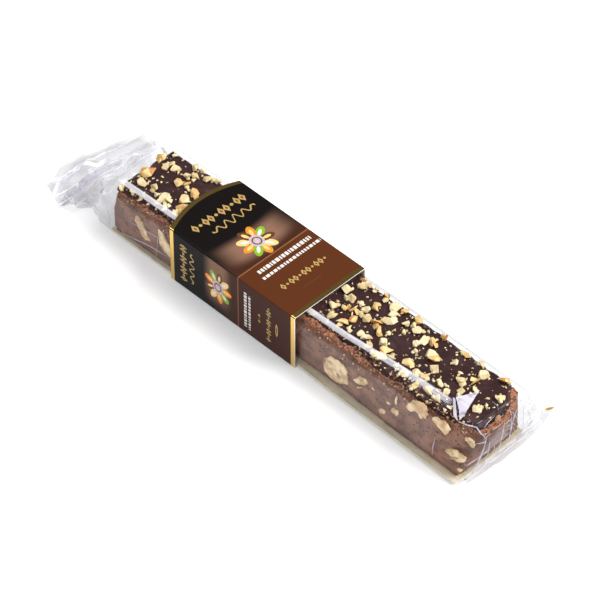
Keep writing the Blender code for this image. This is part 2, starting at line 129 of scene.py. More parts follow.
# Its colours along the bar: black turns brown, a pale glow crosses it, then a rule and a
# brown panel follow
BLACK_FADES = (-38 * MM, -23 * MM)
GLOW_MIDDLE = -31.5 * MM
GLOW_WIDTHS = (9.0 * MM, 2.5 * MM)
RULE_STARTS = (-22.3 * MM, -22.1 * MM)
RULE_ENDS = (-21.4 * MM, -21.7 * MM)
PANEL_STARTS = (-22.1 * MM, -21.8 * MM)
# The height of a layer of print, and the inks in the order of their materials
PRINT_LIFT = 0.03 * MM
GOLD, IVORY, AMBER, CREAM, UMBER, LEAF, LILAC = range(7)

# The film's cross section: its foot, its half width there, its roof, the top of its upright
# sides, how far the near side spreads at the foot, as (place along the bar, width) in mm, and
# where its taut part ends
FILM_FLOOR = 0.85 * MM
FILM_HALF = 19.5 * MM
FILM_ROOF = 28.2 * MM
FILM_SIDE_TOP = 22.5 * MM
BOARD_SPREAD = ((11, 0), (30, 0.7), (100, 1.6))
LEFT_BEND = -100.8 * MM
RIGHT_BEND = 100.8 * MM
# Where its shape starts to crumple and where it is fully crumpled, and where the left end
# flattens again towards its crimp
CRUMPLES_LEFT = (-99 * MM, -112 * MM)
CRUMPLES_RIGHT = (101 * MM, 105 * MM)
LEFT_CRIMP = (-142 * MM, -124 * MM)
# Where its look turns grey at the ends, where the far shoulder greys and where the gloss dulls
GREYS_LEFT = (-99 * MM, -110 * MM)
GREYS_RIGHT = (100 * MM, 104 * MM)
FAR_SHOULDER = (15.5 * MM, 17.5 * MM)
GLOSS_DULLS = (83 * MM, 87 * MM)
# The flat face of its near shoulder, which carries a painted highlight, a white stripe: where its
# middle is, as (place along the bar, width) in mm, its half width, and the stripe's half width and
# ends
GLEAM_LINE = ((-97, -13.6), (-65, -12.8), (12, -11.6), (30, -11.1), (60, -8.6), (85, -7.8))
GLEAM_HALF = 1.8 * MM
HIGHLIGHT_STRIPE_HALF = 1.2 * MM
HIGHLIGHT_STRIPE_STARTS = (-99 * MM, -96 * MM)
HIGHLIGHT_STRIPE_ENDS = (86 * MM, 82 * MM)
# The attribute that holds each point's distance from the middle of the painted highlight stripe
HIGHLIGHT_STRIPE_OFFSET = "highlight_stripe_offset"
# How far the drawn creases lie off the film, the longest step of one that still lies on one
# fold, and how far one may lie beside the film's edge
CREASE_LIFT = 0.3 * MM
CREASE_STEP = 2.5 * MM
WIDEST_MISS = 0.9 * MM

# How bright the room is as a light, and as what the film and the print mirror, and how far
# the floor lies under the sleeve's underside, so that the two don't coincide
ROOM_LIGHT = 0.80
ROOM_IN_GLOSS = 0.10
FLOOR_DROP = 0.05 * MM

# The camera: where it looks, from which side and how far off, and the photograph's frame
AIM = Vector((-7.03, 0.41, 12.0)) * MM
AZIMUTH = math.radians(45.13)
ELEVATION = math.radians(45.54)
DISTANCE = 1467.6 * MM
FOCAL_LENGTH_MM = 216.0
SENSOR_MM = 36.0
PHOTO_SIDE = 600
TO_CAMERA = Vector(
    (
        math.sin(AZIMUTH) * math.cos(ELEVATION),
        -math.cos(AZIMUTH) * math.cos(ELEVATION),
        math.sin(ELEVATION),
    )
)
EYE = AIM + TO_CAMERA * DISTANCE

# Chopped nuts that the photograph shows: column, row, length in mm and kind
LEFT_NUTS = (
    (161, 156, 4.6, "toasted"), (166, 166, 4.0, "pale"), (172, 164, 4.2, "pale"),
    (175, 168, 3.6, "pale"), (148, 172, 6.5, "skin"), (142, 182, 4.4, "pale"),
    (154, 187, 3.6, "pale"), (164, 197, 5.2, "pale"), (170, 200, 3.8, "pale"),
    (122, 185, 3.0, "pale"), (187, 175, 3.6, "pale"), (196, 176, 4.6, "pale"),
    (195, 167, 4.0, "pale"), (209, 179, 4.8, "pale"), (178, 182, 4.6, "toasted"),
    (186, 183, 3.0, "skin"), (187, 188, 2.6, "pale"), (194, 193, 4.6, "toasted"),
    (184, 199, 4.4, "pale"), (183, 207, 4.8, "toasted"), (149, 213, 2.6, "pale"),
    (156, 194, 2.4, "pale"), (217, 181, 3.0, "pale"), (175, 155, 2.6, "pale"),
    (203, 170, 2.6, "pale"), (166, 205, 3.4, "pale"), (176, 212, 3.2, "pale"),
    (132, 190, 2.6, "pale"), (140, 197, 2.8, "pale"),
)
RIGHT_NUTS = (
    (346, 289, 4.2, "pale"), (351, 297, 4.8, "pale"), (365, 286, 4.2, "pale"),
    (370, 282, 3.0, "pale"), (333, 304, 4.2, "pale"), (331, 315, 4.4, "pale"),
    (344, 307, 2.6, "toasted"), (353, 307, 3.8, "toasted"), (358, 312, 3.4, "toasted"),
    (362, 303, 2.6, "pale"), (367, 308, 3.4, "pale"), (376, 307, 4.0, "toasted"),
    (343, 322, 4.2, "toasted"), (353, 319, 3.6, "skin"), (358, 315, 4.0, "pale"),
    (367, 318, 3.8, "pale"), (377, 322, 4.4, "skin"), (389, 320, 5.4, "pale"),
    (393, 314, 4.0, "pale"), (384, 300, 3.0, "pale"), (396, 307, 4.8, "pale"),
    (405, 310, 3.4, "toasted"), (406, 322, 3.0, "pale"), (418, 319, 4.6, "toasted"),
    (417, 330, 4.6, "pale"), (413, 324, 3.0, "pale"), (379, 330, 4.0, "toasted"),
    (389, 333, 2.2, "pale"), (361, 333, 4.4, "pale"), (350, 328, 3.0, "pale"),
    (383, 342, 4.4, "pale"), (386, 350, 4.4, "toasted"), (369, 345, 3.6, "pale"),
    (391, 357, 3.4, "pale"), (374, 354, 4.0, "pale"), (381, 357, 4.0, "pale"),
    (424, 340, 4.0, "pale"), (433, 341, 4.6, "toasted"), (431, 354, 4.2, "pale"),
    (416, 343, 3.0, "pale"), (434, 358, 4.4, "toasted"), (416, 351, 2.8, "pale"),
    (408, 363, 4.4, "toasted"), (404, 372, 4.4, "pale"), (417, 372, 3.6, "pale"),
    (425, 376, 4.2, "pale"), (435, 368, 4.4, "pale"), (416, 384, 3.4, "pale"),
    (428, 391, 4.4, "pale"), (437, 397, 3.6, "pale"), (439, 383, 3.6, "pale"),
    (446, 385, 2.2, "pale"), (455, 361, 3.0, "pale"), (461, 379, 4.6, "pale"),
    (460, 372, 2.2, "pale"), (477, 382, 4.8, "toasted"), (484, 374, 4.2, "pale"),
    (465, 354, 4.2, "toasted"), (500, 397, 3.8, "pale"), (477, 409, 3.6, "pale"),
    (460, 391, 4.4, "pale"), (505, 380, 4.2, "skin"), (476, 390, 3.4, "pale"),
    (482, 362, 3.2, "pale"), (446, 392, 3.4, "pale"), (396, 364, 2.6, "pale"),
    (450, 407, 2.4, "pale"), (445, 337, 3.0, "skin"), (424, 400, 2.6, "pale"),
    (412, 386, 2.4, "pale"), (363, 277, 3.0, "skin"), (386, 294, 2.8, "skin"),
    (376, 288, 2.8, "pale"), (404, 332, 2.4, "pale"), (368, 336, 2.4, "pale"),
)

# Whole nuts that the knife cut through in the near side: column, row, half length and half
# height in mm, and tilt in degrees
SIDE_NUTS = (
    (336, 371, 6.9, 6.3, -30.0), (361, 381.5, 4.3, 1.9, -36.0), (359, 387.5, 1.9, 0.5, -36.0),
    (382, 411.5, 2.3, 1.2, -36.0), (395, 412, 2.5, 2.0, -40.0), (396, 402, 0.6, 2.8, 0.0),
    (417, 411, 7.4, 4.2, -50.0), (439, 427, 6.0, 4.2, -46.0), (453, 456, 7.0, 3.0, -36.0),
    (469, 443, 3.1, 2.4, -40.0), (459, 470, 1.6, 0.8, -36.0), (498, 420, 1.4, 2.4, 0.0),
    (141.5, 228.5, 5.8, 2.6, 54.0), (164, 243, 6.4, 3.0, 62.0), (429, 399, 2.6, 1.4, -30.0),
    (443, 414, 2.4, 1.2, -40.0), (388, 403, 1.0, 0.6, 0.0), (373, 389, 0.9, 0.5, 0.0),
)
# Cut nuts of the far side, which the photograph doesn't show: place along the bar and height,
# half length, half height and tilt
FAR_NUTS = (
    (-90, 12, 5.2, 3.4, 20.0), (-74, 17, 3.0, 2.0, -30.0), (-66, 8, 2.2, 1.4, 10.0),
    (18, 9, 3.2, 2.4, 35.0), (27, 16, 6.2, 3.6, -15.0), (41, 7, 2.0, 1.2, 0.0),
    (50, 13, 5.0, 4.2, 50.0), (63, 18, 2.4, 1.6, 0.0), (72, 9, 6.6, 2.8, 12.0),
    (84, 15, 3.6, 2.6, -40.0), (93, 8, 1.8, 1.2, 0.0),
)
# Darker hollows in the near side's nuts, flat patches whose darkness is painted shade, given as
# those nuts are
SIDE_HOLLOW_SHADES = (
    (333, 363, 2.5, 1.9, -20.0), (339, 376, 1.5, 0.8, 30.0), (423, 407, 2.2, 1.3, -50.0),
    (453, 458, 3.2, 0.5, -36.0), (456, 453, 2.0, 0.35, -36.0), (362, 380, 1.5, 0.5, -36.0),
)
# Low, high and patch tones of these nuts and of the painted shade of the hollows in them
SIDE_NUT_TONES = ((0.54, 0.35, 0.17), (0.88, 0.68, 0.42), (0.34, 0.17, 0.06))
HOLLOW_SHADE_TONES = ((0.30, 0.21, 0.10), (0.42, 0.34, 0.19), (0.20, 0.10, 0.04))

# What the photograph shows of the film's folds: white faces and creases, painted highlights,
# each as pixels. A crease is (width in pixels, columns and rows of its bends)
FILM_GLINT_FACES = (
    ((479.8, 389.9), (470.7, 393.6), (455.8, 397.0), (459.0, 409.8), (459.5, 420.4),
     (464.9, 414.8), (467.4, 409.8)),
    ((452.9, 397.4), (455.3, 398.6), (456.6, 413.1), (457.8, 421.4), (455.8, 418.9),
     (453.3, 414.8)),
    ((71.6, 198.0), (70.7, 190.0), (86.0, 175.0), (123.5, 158.6), (114.0, 166.5),
     (98.0, 176.5), (86.0, 186.5), (76.5, 197.0)),
    ((60.0, 182.0), (64.0, 177.0), (78.0, 164.0), (86.0, 160.8), (76.0, 170.0), (67.0, 177.5)),
    ((97.5, 195.0), (102.0, 188.0), (98.3, 180.0), (101.6, 181.5), (104.5, 189.0), (100.0, 196.0)),
)
FILM_CREASE_GLINTS = (
    (1.6, ((458.2, 421.6), (467.4, 425.1), (476.5, 427.2), (480.6, 433.0), (485.6, 438.0))),
    (2.2, ((486.4, 438.0), (483.9, 448.8), (477.3, 463.7), (473.2, 469.5), (470.7, 478.6))),
    (1.2, ((489.8, 438.8), (488.9, 451.3), (483.1, 463.7), (474.8, 475.3), (469.0, 480.0))),
    (1.2, ((504.7, 421.4), (503.0, 433.0), (498.0, 452.9), (486.4, 467.8))),
    (1.6, ((517.1, 409.0), (512.1, 423.1), (508.8, 441.3), (504.7, 445.5))),
    (1.0, ((527.9, 392.4), (523.7, 409.8), (522.9, 429.7), (513.0, 444.6), (489.8, 463.7))),
    (1.8, ((532.9, 419.8), (527.9, 427.0))),
    (1.2, ((545.0, 412.0), (539.0, 424.0), (528.0, 434.0), (512.0, 446.0))),
    (1.0, ((497.0, 459.0), (488.0, 462.0), (478.0, 472.0))),
    (0.5, ((122.9, 218.7), (139.5, 227.0), (157.7, 237.7), (156.0, 262.0))),
    (0.8, ((121.3, 227.0), (123.0, 233.6), (147.8, 245.0), (168.0, 257.0))),
    (1.2, ((150.0, 134.0), (155.0, 144.5), (157.5, 152.0))),
    (1.2, ((72.0, 201.0), (80.0, 198.5), (93.0, 197.0), (104.0, 203.0))),
    (1.6, ((58.0, 196.0), (63.0, 193.0), (67.0, 196.5), (72.0, 203.0))),
    (1.0, ((52.0, 184.0), (66.0, 178.0), (80.0, 168.0))),
    (1.0, ((81.0, 162.0), (98.0, 157.0), (118.0, 147.5), (143.0, 133.0))),
    (1.2, ((106.0, 206.0), (109.0, 216.0), (110.0, 228.0))),
    (1.4, ((95.0, 160.0), (101.0, 158.5))),
    (0.7, ((435.0, 438.0), (433.0, 446.0), (432.0, 455.0))),
)
# Patches with many small white creases, painted highlights: columns and rows they span, their
# lean in degrees down from the right, and how many there are
CREASE_GLINT_PATCHES = (
    ((478, 535, 412, 460), 118, 20), ((490, 526, 392, 428), 60, 6),
    ((60, 112, 168, 206), 150, 14), ((84, 140, 142, 176), 145, 8),
)
# The strip of gold print on the film's right tip, and dark specks on the film
TIP_PRINT = (2.6, ((540.7, 406.5), (547.0, 409.2), (554.4, 407.4)))
SPECKS = (
    (525.4, 409.6), (542.4, 413.5), (513.0, 392.2), (516.3, 393.6), (520.4, 400.3),
    (135.4, 161.3), (133.0, 163.2), (142.3, 156.0), (541.0, 406.0), (555.0, 407.0),
    (443.0, 331.5), (421.0, 312.5),
)


# Small helpers


def smoothstep(low, high, value):
    t = min(max((value - low) / (high - low), 0.0), 1.0)
    return t * t * (3.0 - 2.0 * t)


def along(stops, value):
    """The height of a line through stops, (place, height) pairs from left to right."""
    if value <= stops[0][0]:
        return stops[0][1]
    for (x0, y0), (x1, y1) in zip(stops, stops[1:]):
        if value <= x1:
            return y0 + (y1 - y0) * (value - x0) / (x1 - x0)
    return stops[-1][1]


def sight_line(column, row):
    """The direction in which the camera sees a pixel of the photograph."""
    right = Vector((0, 0, 1)).cross(TO_CAMERA).normalized()
    up = TO_CAMERA.cross(right)
    pixels_per_unit = FOCAL_LENGTH_MM / SENSOR_MM * PHOTO_SIDE
    across = (column - PHOTO_SIDE / 2) / pixels_per_unit
    down = (row - PHOTO_SIDE / 2) / pixels_per_unit
    return (right * across - up * down - TO_CAMERA).normalized()


def seen_at_height(column, row, height):
    """Where the sight line of a pixel crosses a level plane."""
    direction = sight_line(column, row)
    return EYE + direction * ((height - EYE.z) / direction.z)


def far_side_in(x):
    return FAR_NARROWING * smoothstep(*TAPER, x)


def on_board(point):
    """Puts a point of the block, drawn about its own middle, in its place on the board."""
    farness = (point.y + BLOCK_HALF) / (2 * BLOCK_HALF)
    y = point.y + BLOCK_CENTRE + SKEW * point.x - far_side_in(point.x) * farness
    return Vector((point.x, y, point.z))


def end_at_top(y):
    if y < 0:
        return END_TOP - 1.6 * MM * (-y / BLOCK_HALF) ** 1.9
    return END_TOP - 9.0 * MM * (y / BLOCK_HALF) ** 1.6


def lean_in(x, y):
    """How far the block's top is drawn in from its near side at its right end."""
    nearness = max(BLOCK_HALF - y, 0.0) / (2 * BLOCK_HALF)
    return NEAR_LEAN_IN * nearness**1.6 * smoothstep(BULGE_STARTS, END_TOP, x)


def under_sleeve(x, from_left, from_right):
    """Whether a place is hidden by the sleeve, further in than these mm from its two ends."""
    return SLEEVE_LOW.x + from_left * MM < x < SLEEVE_HIGH.x - from_right * MM


def dropped(surface, x, y):
    """Where a plumb line first meets a surface, or None."""
    return surface.ray_cast(Vector((x, y, ABOVE)), DOWN)[0]


def tree_of(name):
    """A search tree over a finished piece's mesh."""
    bm = bmesh.new()
    bm.from_mesh(bpy.data.objects[name].data)
    tree = BVHTree.FromBMesh(bm)
    bm.free()
    return tree


def piece(name, mesh_source, materials, body="root", smooth=True):
    """Makes a bmesh or a mesh a piece of the scene that rides on the body."""
    if isinstance(mesh_source, bmesh.types.BMesh):
        mesh = bpy.data.meshes.new(name)
        mesh_source.to_mesh(mesh)
        mesh_source.free()
    else:
        mesh = mesh_source
    for material in materials:
        mesh.materials.append(material)
    for polygon in mesh.polygons:
        polygon.use_smooth = smooth
    obj = bpy.data.objects.new(name, mesh)
    bpy.context.scene.collection.objects.link(obj)
    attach(obj, body)
    return obj


# Material helpers


def new_surface(name, colour, roughness, **sockets):
    """A material with its Principled shader set: returns its tree and the shader."""
    material = bpy.data.materials.new(name)
    material.use_nodes = True
    tree = material.node_tree
    shader = tree.nodes["Principled BSDF"]
    shader.inputs["Base Color"].default_value = (*colour, 1.0)
    shader.inputs["Roughness"].default_value = roughness
    for socket, value in sockets.items():
        shader.inputs[socket.replace("_", " ")].default_value = value
    return material, tree, shader


def bare_material(name):
    """A material with nothing in its tree: returns the material and the tree."""
    material = bpy.data.materials.new(name)
    material.use_nodes = True
    material.node_tree.nodes.clear()
    return material, material.node_tree


def tinted(colour, factor):
    return tuple(c * factor for c in colour)


def add(tree, kind, settings=None, **inputs):
    """A node of a kind with its settings and the values or links of its inputs."""
    node = tree.nodes.new("ShaderNode" + kind)
    for key, value in (settings or {}).items():
        setattr(node, key, value)
    for key, value in inputs.items():
        socket = node.inputs[int(key[2:])] if key.startswith("in") else node.inputs[key]
        if isinstance(value, bpy.types.NodeSocket):
            tree.links.new(value, socket)
        else:
            socket.default_value = value
    return node


def maths(tree, operation, first, second=0.5, third=0.5, clamp=False):
    settings = {"operation": operation, "use_clamp": clamp}
    return add(tree, "Math", settings, in0=first, in1=second, in2=third).outputs[0]


def times(tree, first, second):
    return maths(tree, "MULTIPLY", first, second)


def blend(tree, share, first, second):
    """Mixes two shaders."""
    return add(tree, "MixShader", in0=share, in1=first.outputs[0], in2=second.outputs[0])


def mix(tree, share, first, second):
    """Mixes two colours, each a socket or an (r, g, b) triple."""
    node = tree.nodes.new("ShaderNodeMix")
    node.data_type = "RGBA"
    for index, value in ((0, share), (6, first), (7, second)):
        if isinstance(value, bpy.types.NodeSocket):
            tree.links.new(value, node.inputs[index])
        else:
            node.inputs[index].default_value = value if index == 0 else (*value, 1.0)
    return node.outputs[2]


def ramp(tree, value, low, high):
    """Rises smoothly from 0 at low to 1 at high."""
    settings = {"interpolation_type": "SMOOTHSTEP"}
    node = add(tree, "MapRange", settings, in0=value, in1=low, in2=high, in3=0.0, in4=1.0)
    return node.outputs[0]


def place(tree):
    return add(tree, "TexCoord").outputs["Object"]


def split(tree, source):
    """The x, y and z of a place."""
    return tuple(add(tree, "SeparateXYZ", in0=source).outputs)


def stretched(tree, source, scale, shift=(0.0, 0.0, 0.0)):
    return add(tree, "Mapping", in0=source, Scale=scale, Location=shift).outputs[0]


def grain(tree, source, scale, detail=4.0, roughness=0.55):
    node = add(tree, "TexNoise", in0=source, Scale=scale, Detail=detail, Roughness=roughness)
    return node.outputs[0]


def cells(tree, source, scale, randomness=1.0):
    node = add(tree, "TexVoronoi", in0=source, Scale=scale, Randomness=randomness)
    return node.outputs["Distance"]


def bumpy(tree, shader, height, strength, distance):
    node = add(tree, "Bump", Strength=strength, Distance=distance, Height=height)
    tree.links.new(node.outputs[0], shader.inputs["Normal"])


# Materials


def nougat_material(settings):
    """Chewy cocoa nougat: mauve brown, finely pored, rough and redder along its upper edges, with
    painted shade in a band below them and in its pores.
    """
    material, tree, shader = new_surface("cocoa nougat", settings.nougat_colour, 0.62)
    at = place(tree)
    length, _, height = split(tree, at)
    dark = tinted(settings.nougat_colour, 0.62)
    light = tinted(settings.nougat_colour, 1.18)
    mottled = mix(tree, ramp(tree, grain(tree, at, 190.0, 6.0), 0.36, 0.66), dark, light)
    drawn = stretched(tree, at, (50.0, 300.0, 330.0))
    smear = ramp(tree, grain(tree, drawn, 1.0, 5.0), 0.52, 0.74)
    mottled = mix(tree, times(tree, smear, 0.45), mottled, (0.36, 0.225, 0.16))
    torn = ramp(tree, grain(tree, stretched(tree, at, (110.0, 300.0, 420.0)), 1.0, 6.0), 0.56, 0.68)
    mottled = mix(tree, times(tree, torn, 0.5), mottled, (0.085, 0.032, 0.022))
    pores = ramp(tree, cells(tree, at, 480.0), 0.30, 0.14)
    porous = ramp(tree, grain(tree, at, 130.0, 2.0), 0.40, 0.54)
    coarse = times(tree, ramp(tree, length, *COARSE_STARTS), ramp(tree, length, *COARSE_ENDS))
    porous = maths(tree, "MAXIMUM", porous, times(tree, coarse, 0.9))
    pores = times(tree, pores, porous)
    # Painted shade: the pores are darkened for the shade inside these small holes, which the bump
    # also sinks
    mottled = mix(tree, times(tree, pores, 0.8), mottled, (0.045, 0.016, 0.012))
    ragged = times(tree, grain(tree, at, 300.0, 5.0), 4.4 * MM)
    level = maths(tree, "ADD", height, ragged)
    crumbly = ramp(tree, level, *CRUMBLY_LEVEL)
    # Painted shade: a darker band below the crumbly upper edge, where the rounded shoulder turns
    # from the light
    shade_band = times(tree, ramp(tree, level, *SHADE_BAND_LEVEL), 0.62)
    mottled = mix(tree, shade_band, mottled, (0.105, 0.040, 0.022))
    crumb_tone = ramp(tree, grain(tree, at, 900.0, 4.0), 0.36, 0.58)
    crumbs = mix(tree, crumb_tone, (0.10, 0.026, 0.010), (0.50, 0.19, 0.08))
    colour = mix(tree, times(tree, crumbly, 0.92), mottled, crumbs)
    tree.links.new(colour, shader.inputs["Base Color"])
    fine = grain(tree, at, 1500.0, 4.0)
    relief = maths(tree, "SUBTRACT", fine, times(tree, pores, 1.2))
    bumpy(tree, shader, relief, 0.45, 0.4 * MM)
    return material


def chocolate_material(settings):
    """Dark chocolate, satin, with a faint bloom in patches."""
    base = settings.chocolate_colour
    material, tree, shader = new_surface("dark chocolate", base, 0.4, Specular_IOR_Level=0.22)
    at = place(tree)
    bloom = ramp(tree, grain(tree, at, 90.0, 5.0), 0.42, 0.72)
    colour = mix(tree, bloom, base, tinted(base, 1.6))
    tree.links.new(colour, shader.inputs["Base Color"])
    gloss = maths(tree, "MULTIPLY_ADD", grain(tree, at, 260.0), 0.3, 0.27)
    tree.links.new(gloss, shader.inputs["Roughness"])
    bumpy(tree, shader, grain(tree, at, 700.0, 5.0), 0.35, 0.35 * MM)
    return material


def nut_material(name, low, high, patch):
    """Nut flesh: between two tones, with darker patches, fine bumps and a little light inside."""
    material, tree, shader = new_surface(
        name, high, 0.55, Subsurface_Weight=0.12, Subsurface_Radius=(1.0, 0.6, 0.3),
        Subsurface_Scale=0.8 * MM,
    )
    at = place(tree)
    tone = ramp(tree, grain(tree, at, 230.0, 2.0), 0.35, 0.65)
    colour = mix(tree, tone, low, high)
    spots = ramp(tree, grain(tree, at, 520.0, 3.0), 0.6, 0.74)
    colour = mix(tree, times(tree, spots, 0.6), colour, patch)
    tree.links.new(colour, shader.inputs["Base Color"])
    bumpy(tree, shader, grain(tree, at, 1600.0, 4.0), 0.3, 0.2 * MM)
    return material


def board_material(settings):
    """Pale laminated board, a little yellower in patches, with a faint fibre grain."""
    material, tree, shader = new_surface("pale board", settings.board_colour, 0.42)
    at = place(tree)
    fibres = grain(tree, stretched(tree, at, (180.0, 900.0, 900.0)), 1.0, 4.0)
    darker = tuple(c * k for c, k in zip(settings.board_colour, (0.82, 0.78, 0.68)))
    colour = mix(tree, ramp(tree, fibres, 0.35, 0.7), settings.board_colour, darker)
    tree.links.new(colour, shader.inputs["Base Color"])
    bumpy(tree, shader, fibres, 0.15, 0.1 * MM)
    return material


def sleeve_material(settings):
    """The printed outside of the sleeve: black to brown along the bar, with a pale glow."""
    base = (0.01, 0.008, 0.007)
    material, tree, shader = new_surface("printed card", base, 0.16, Specular_IOR_Level=0.05)
    x, y, z = split(tree, place(tree))
    top = ramp(tree, z, SLEEVE_HIGH.z - 0.7 * MM, SLEEVE_HIGH.z - 0.5 * MM)
    # The sides' brown is darker than the top's: painted shade
    shaded_side_brown, top_brown = (0.046, 0.015, 0.010), (0.084, 0.025, 0.009)
    black = (0.0075, 0.0062, 0.0058)
    fade = ramp(tree, x, *BLACK_FADES)
    colour = mix(tree, times(tree, fade, 0.75), black, (0.06, 0.022, 0.012))
    # The glow: a soft oval across the panel, drawn on distance from its middle line
    bow = times(tree, times(tree, y, y), -6.0)
    from_middle = maths(tree, "SUBTRACT", maths(tree, "ADD", x, -GLOW_MIDDLE), bow)
    glow = ramp(tree, maths(tree, "ABSOLUTE", from_middle), *GLOW_WIDTHS)
    aside = maths(tree, "ABSOLUTE", y)
    top_fade = ramp(tree, aside, SLEEVE_HALF + 1 * MM, SLEEVE_HALF - 12 * MM)
    side_fade = ramp(tree, z, 1 * MM, 12 * MM)
    glow_top = times(tree, times(tree, glow, top_fade), top)
    glow_side = times(tree, times(tree, glow, side_fade), maths(tree, "SUBTRACT", 1.0, top))
    glow = maths(tree, "ADD", glow_top, glow_side)
    colour = mix(tree, times(tree, glow, 0.8), colour, (0.25, 0.135, 0.09))
    brown = mix(tree, top, shaded_side_brown, top_brown)
    colour = mix(tree, ramp(tree, x, *PANEL_STARTS), colour, brown)
    rule = times(tree, ramp(tree, x, *RULE_STARTS), ramp(tree, x, *RULE_ENDS))
    colour = mix(tree, times(tree, rule, 0.6), colour, (0.28, 0.12, 0.06))
    tree.links.new(colour, shader.inputs["Base Color"])
    return material


def foil_material():
    """Gold foil print."""
    return new_surface("gold foil", (0.72, 0.47, 0.13), 0.24, Metallic=1.0)[0]


def film_material(settings):
    """Clear film: light goes straight through, but for a little gloss by the angle of view.

    Beyond the board's ends, where the film is crumpled, it is greyer, with white creases that are
    painted highlights. A white stripe, a painted highlight, runs along its near shoulder.
    """
    material, tree = bare_material("clear film")
    at = place(tree)
    x, y, _ = split(tree, at)
    left = ramp(tree, x, *GREYS_LEFT)
    right = times(tree, ramp(tree, x, *GREYS_RIGHT), 0.8)
    loose = maths(tree, "MAXIMUM", left, right)
    cloudy = ramp(tree, grain(tree, stretched(tree, at, (150.0, 45.0, 150.0)), 1.0, 5.0), 0.4, 0.65)
    darker = tinted(settings.film_tint, 0.86)
    grey = mix(tree, cloudy, settings.film_tint, darker)
    grey = mix(tree, times(tree, right, 1.1), grey, darker)
    facing = add(tree, "LayerWeight", Blend=0.5).outputs["Facing"]
    edge_on = ramp(tree, facing, 0.3, 1.0)
    taut = mix(tree, edge_on, (0.985, 0.985, 0.985), (0.60, 0.61, 0.62))
    far = ramp(tree, y, *FAR_SHOULDER)
    taut = mix(tree, times(tree, far, 0.8), taut, (0.70, 0.71, 0.72))
    clear = add(tree, "BsdfTransparent", Color=mix(tree, loose, taut, grey))
    shine = add(tree, "BsdfAnisotropic", Roughness=0.15, Color=(0.93, 0.93, 1.0, 1.0))
    grazing = maths(tree, "POWER", facing, 6.0)
    share = maths(tree, "MULTIPLY_ADD", grazing, 0.7, 0.03, clamp=True)
    dull = maths(tree, "MULTIPLY_ADD", ramp(tree, x, *GLOSS_DULLS), -0.85, 1.0)
    glossy = blend(tree, times(tree, share, dull), clear, shine)
    # White creases, painted highlights: the edges of long cells that lie across the bar, broken up
    long_cells = stretched(tree, at, (170.0, 34.0, 140.0))
    edges = add(tree, "TexVoronoi", {"feature": "DISTANCE_TO_EDGE"}, in0=long_cells, Scale=1.0)
    crease = ramp(tree, edges.outputs["Distance"], 0.075, 0.01)
    broken = ramp(tree, grain(tree, at, 70.0, 3.0), 0.44, 0.56)
    crease = times(tree, times(tree, crease, broken), 0.62)
    haze = times(tree, ramp(tree, grain(tree, at, 60.0, 3.0), 0.5, 0.7), 0.16)
    haze_and_highlight_share = times(tree, maths(tree, "ADD", crease, haze, clamp=True), loose)
    # Painted highlight: the white stripe of the taut near shoulder, with a brighter line along its
    # upper edge
    off_stripe = add(tree, "Attribute", {"attribute_name": HIGHLIGHT_STRIPE_OFFSET}).outputs["Fac"]
    wide = maths(tree, "ABSOLUTE", off_stripe)
    highlight_stripe = ramp(tree, wide, HIGHLIGHT_STRIPE_HALF + 0.2 * MM, HIGHLIGHT_STRIPE_HALF - 0.2 * MM)
    upper = maths(tree, "ABSOLUTE", maths(tree, "SUBTRACT", off_stripe, 0.7 * MM))
    upper = ramp(tree, upper, 0.6 * MM, 0.2 * MM)
    uneven = ramp(tree, grain(tree, stretched(tree, at, (28.0, 500.0, 500.0)), 1.0), 0.3, 0.65)
    highlight_stripe = times(tree, highlight_stripe, maths(tree, "MULTIPLY_ADD", uneven, 0.18, 0.22))
    highlight_stripe = maths(tree, "MULTIPLY_ADD", upper, 0.16, highlight_stripe)
    ends = times(tree, ramp(tree, x, *HIGHLIGHT_STRIPE_STARTS), ramp(tree, x, *HIGHLIGHT_STRIPE_ENDS))
    haze_and_highlight_share = maths(tree, "MULTIPLY_ADD", highlight_stripe, ends, haze_and_highlight_share)
    white = add(tree, "BsdfDiffuse", Color=(0.93, 0.92, 0.97, 1.0))
    lit = blend(tree, haze_and_highlight_share, glossy, white)
    add(tree, "OutputMaterial", in0=lit.outputs[0])
    return material


def crease_glint_material():
    """Folded film: lilac white, a painted highlight of its folds, and clear in patches."""
    material, tree = bare_material("folded film")
    clear = add(tree, "BsdfTransparent", Color=(0.98, 0.98, 0.98, 1.0))
    white = add(tree, "BsdfDiffuse", Color=(0.60, 0.57, 0.65, 1.0))
    patchy = ramp(tree, grain(tree, place(tree), 260.0, 3.0), 0.3, 0.55)
    folded = blend(tree, maths(tree, "MULTIPLY_ADD", patchy, 0.5, 0.38), clear, white)
    add(tree, "OutputMaterial", in0=folded.outputs[0])
    return material


def ink(name, colour):
    """Glossy print in one ink, a little uneven."""
    material, tree, shader = new_surface(name, colour, 0.25, Specular_IOR_Level=0.2)
    tone = ramp(tree, grain(tree, place(tree), 900.0, 3.0), 0.3, 0.7)
    shade = mix(tree, tone, tinted(colour, 0.78), colour)
    tree.links.new(shade, shader.inputs["Base Color"])
    return material


# Settings


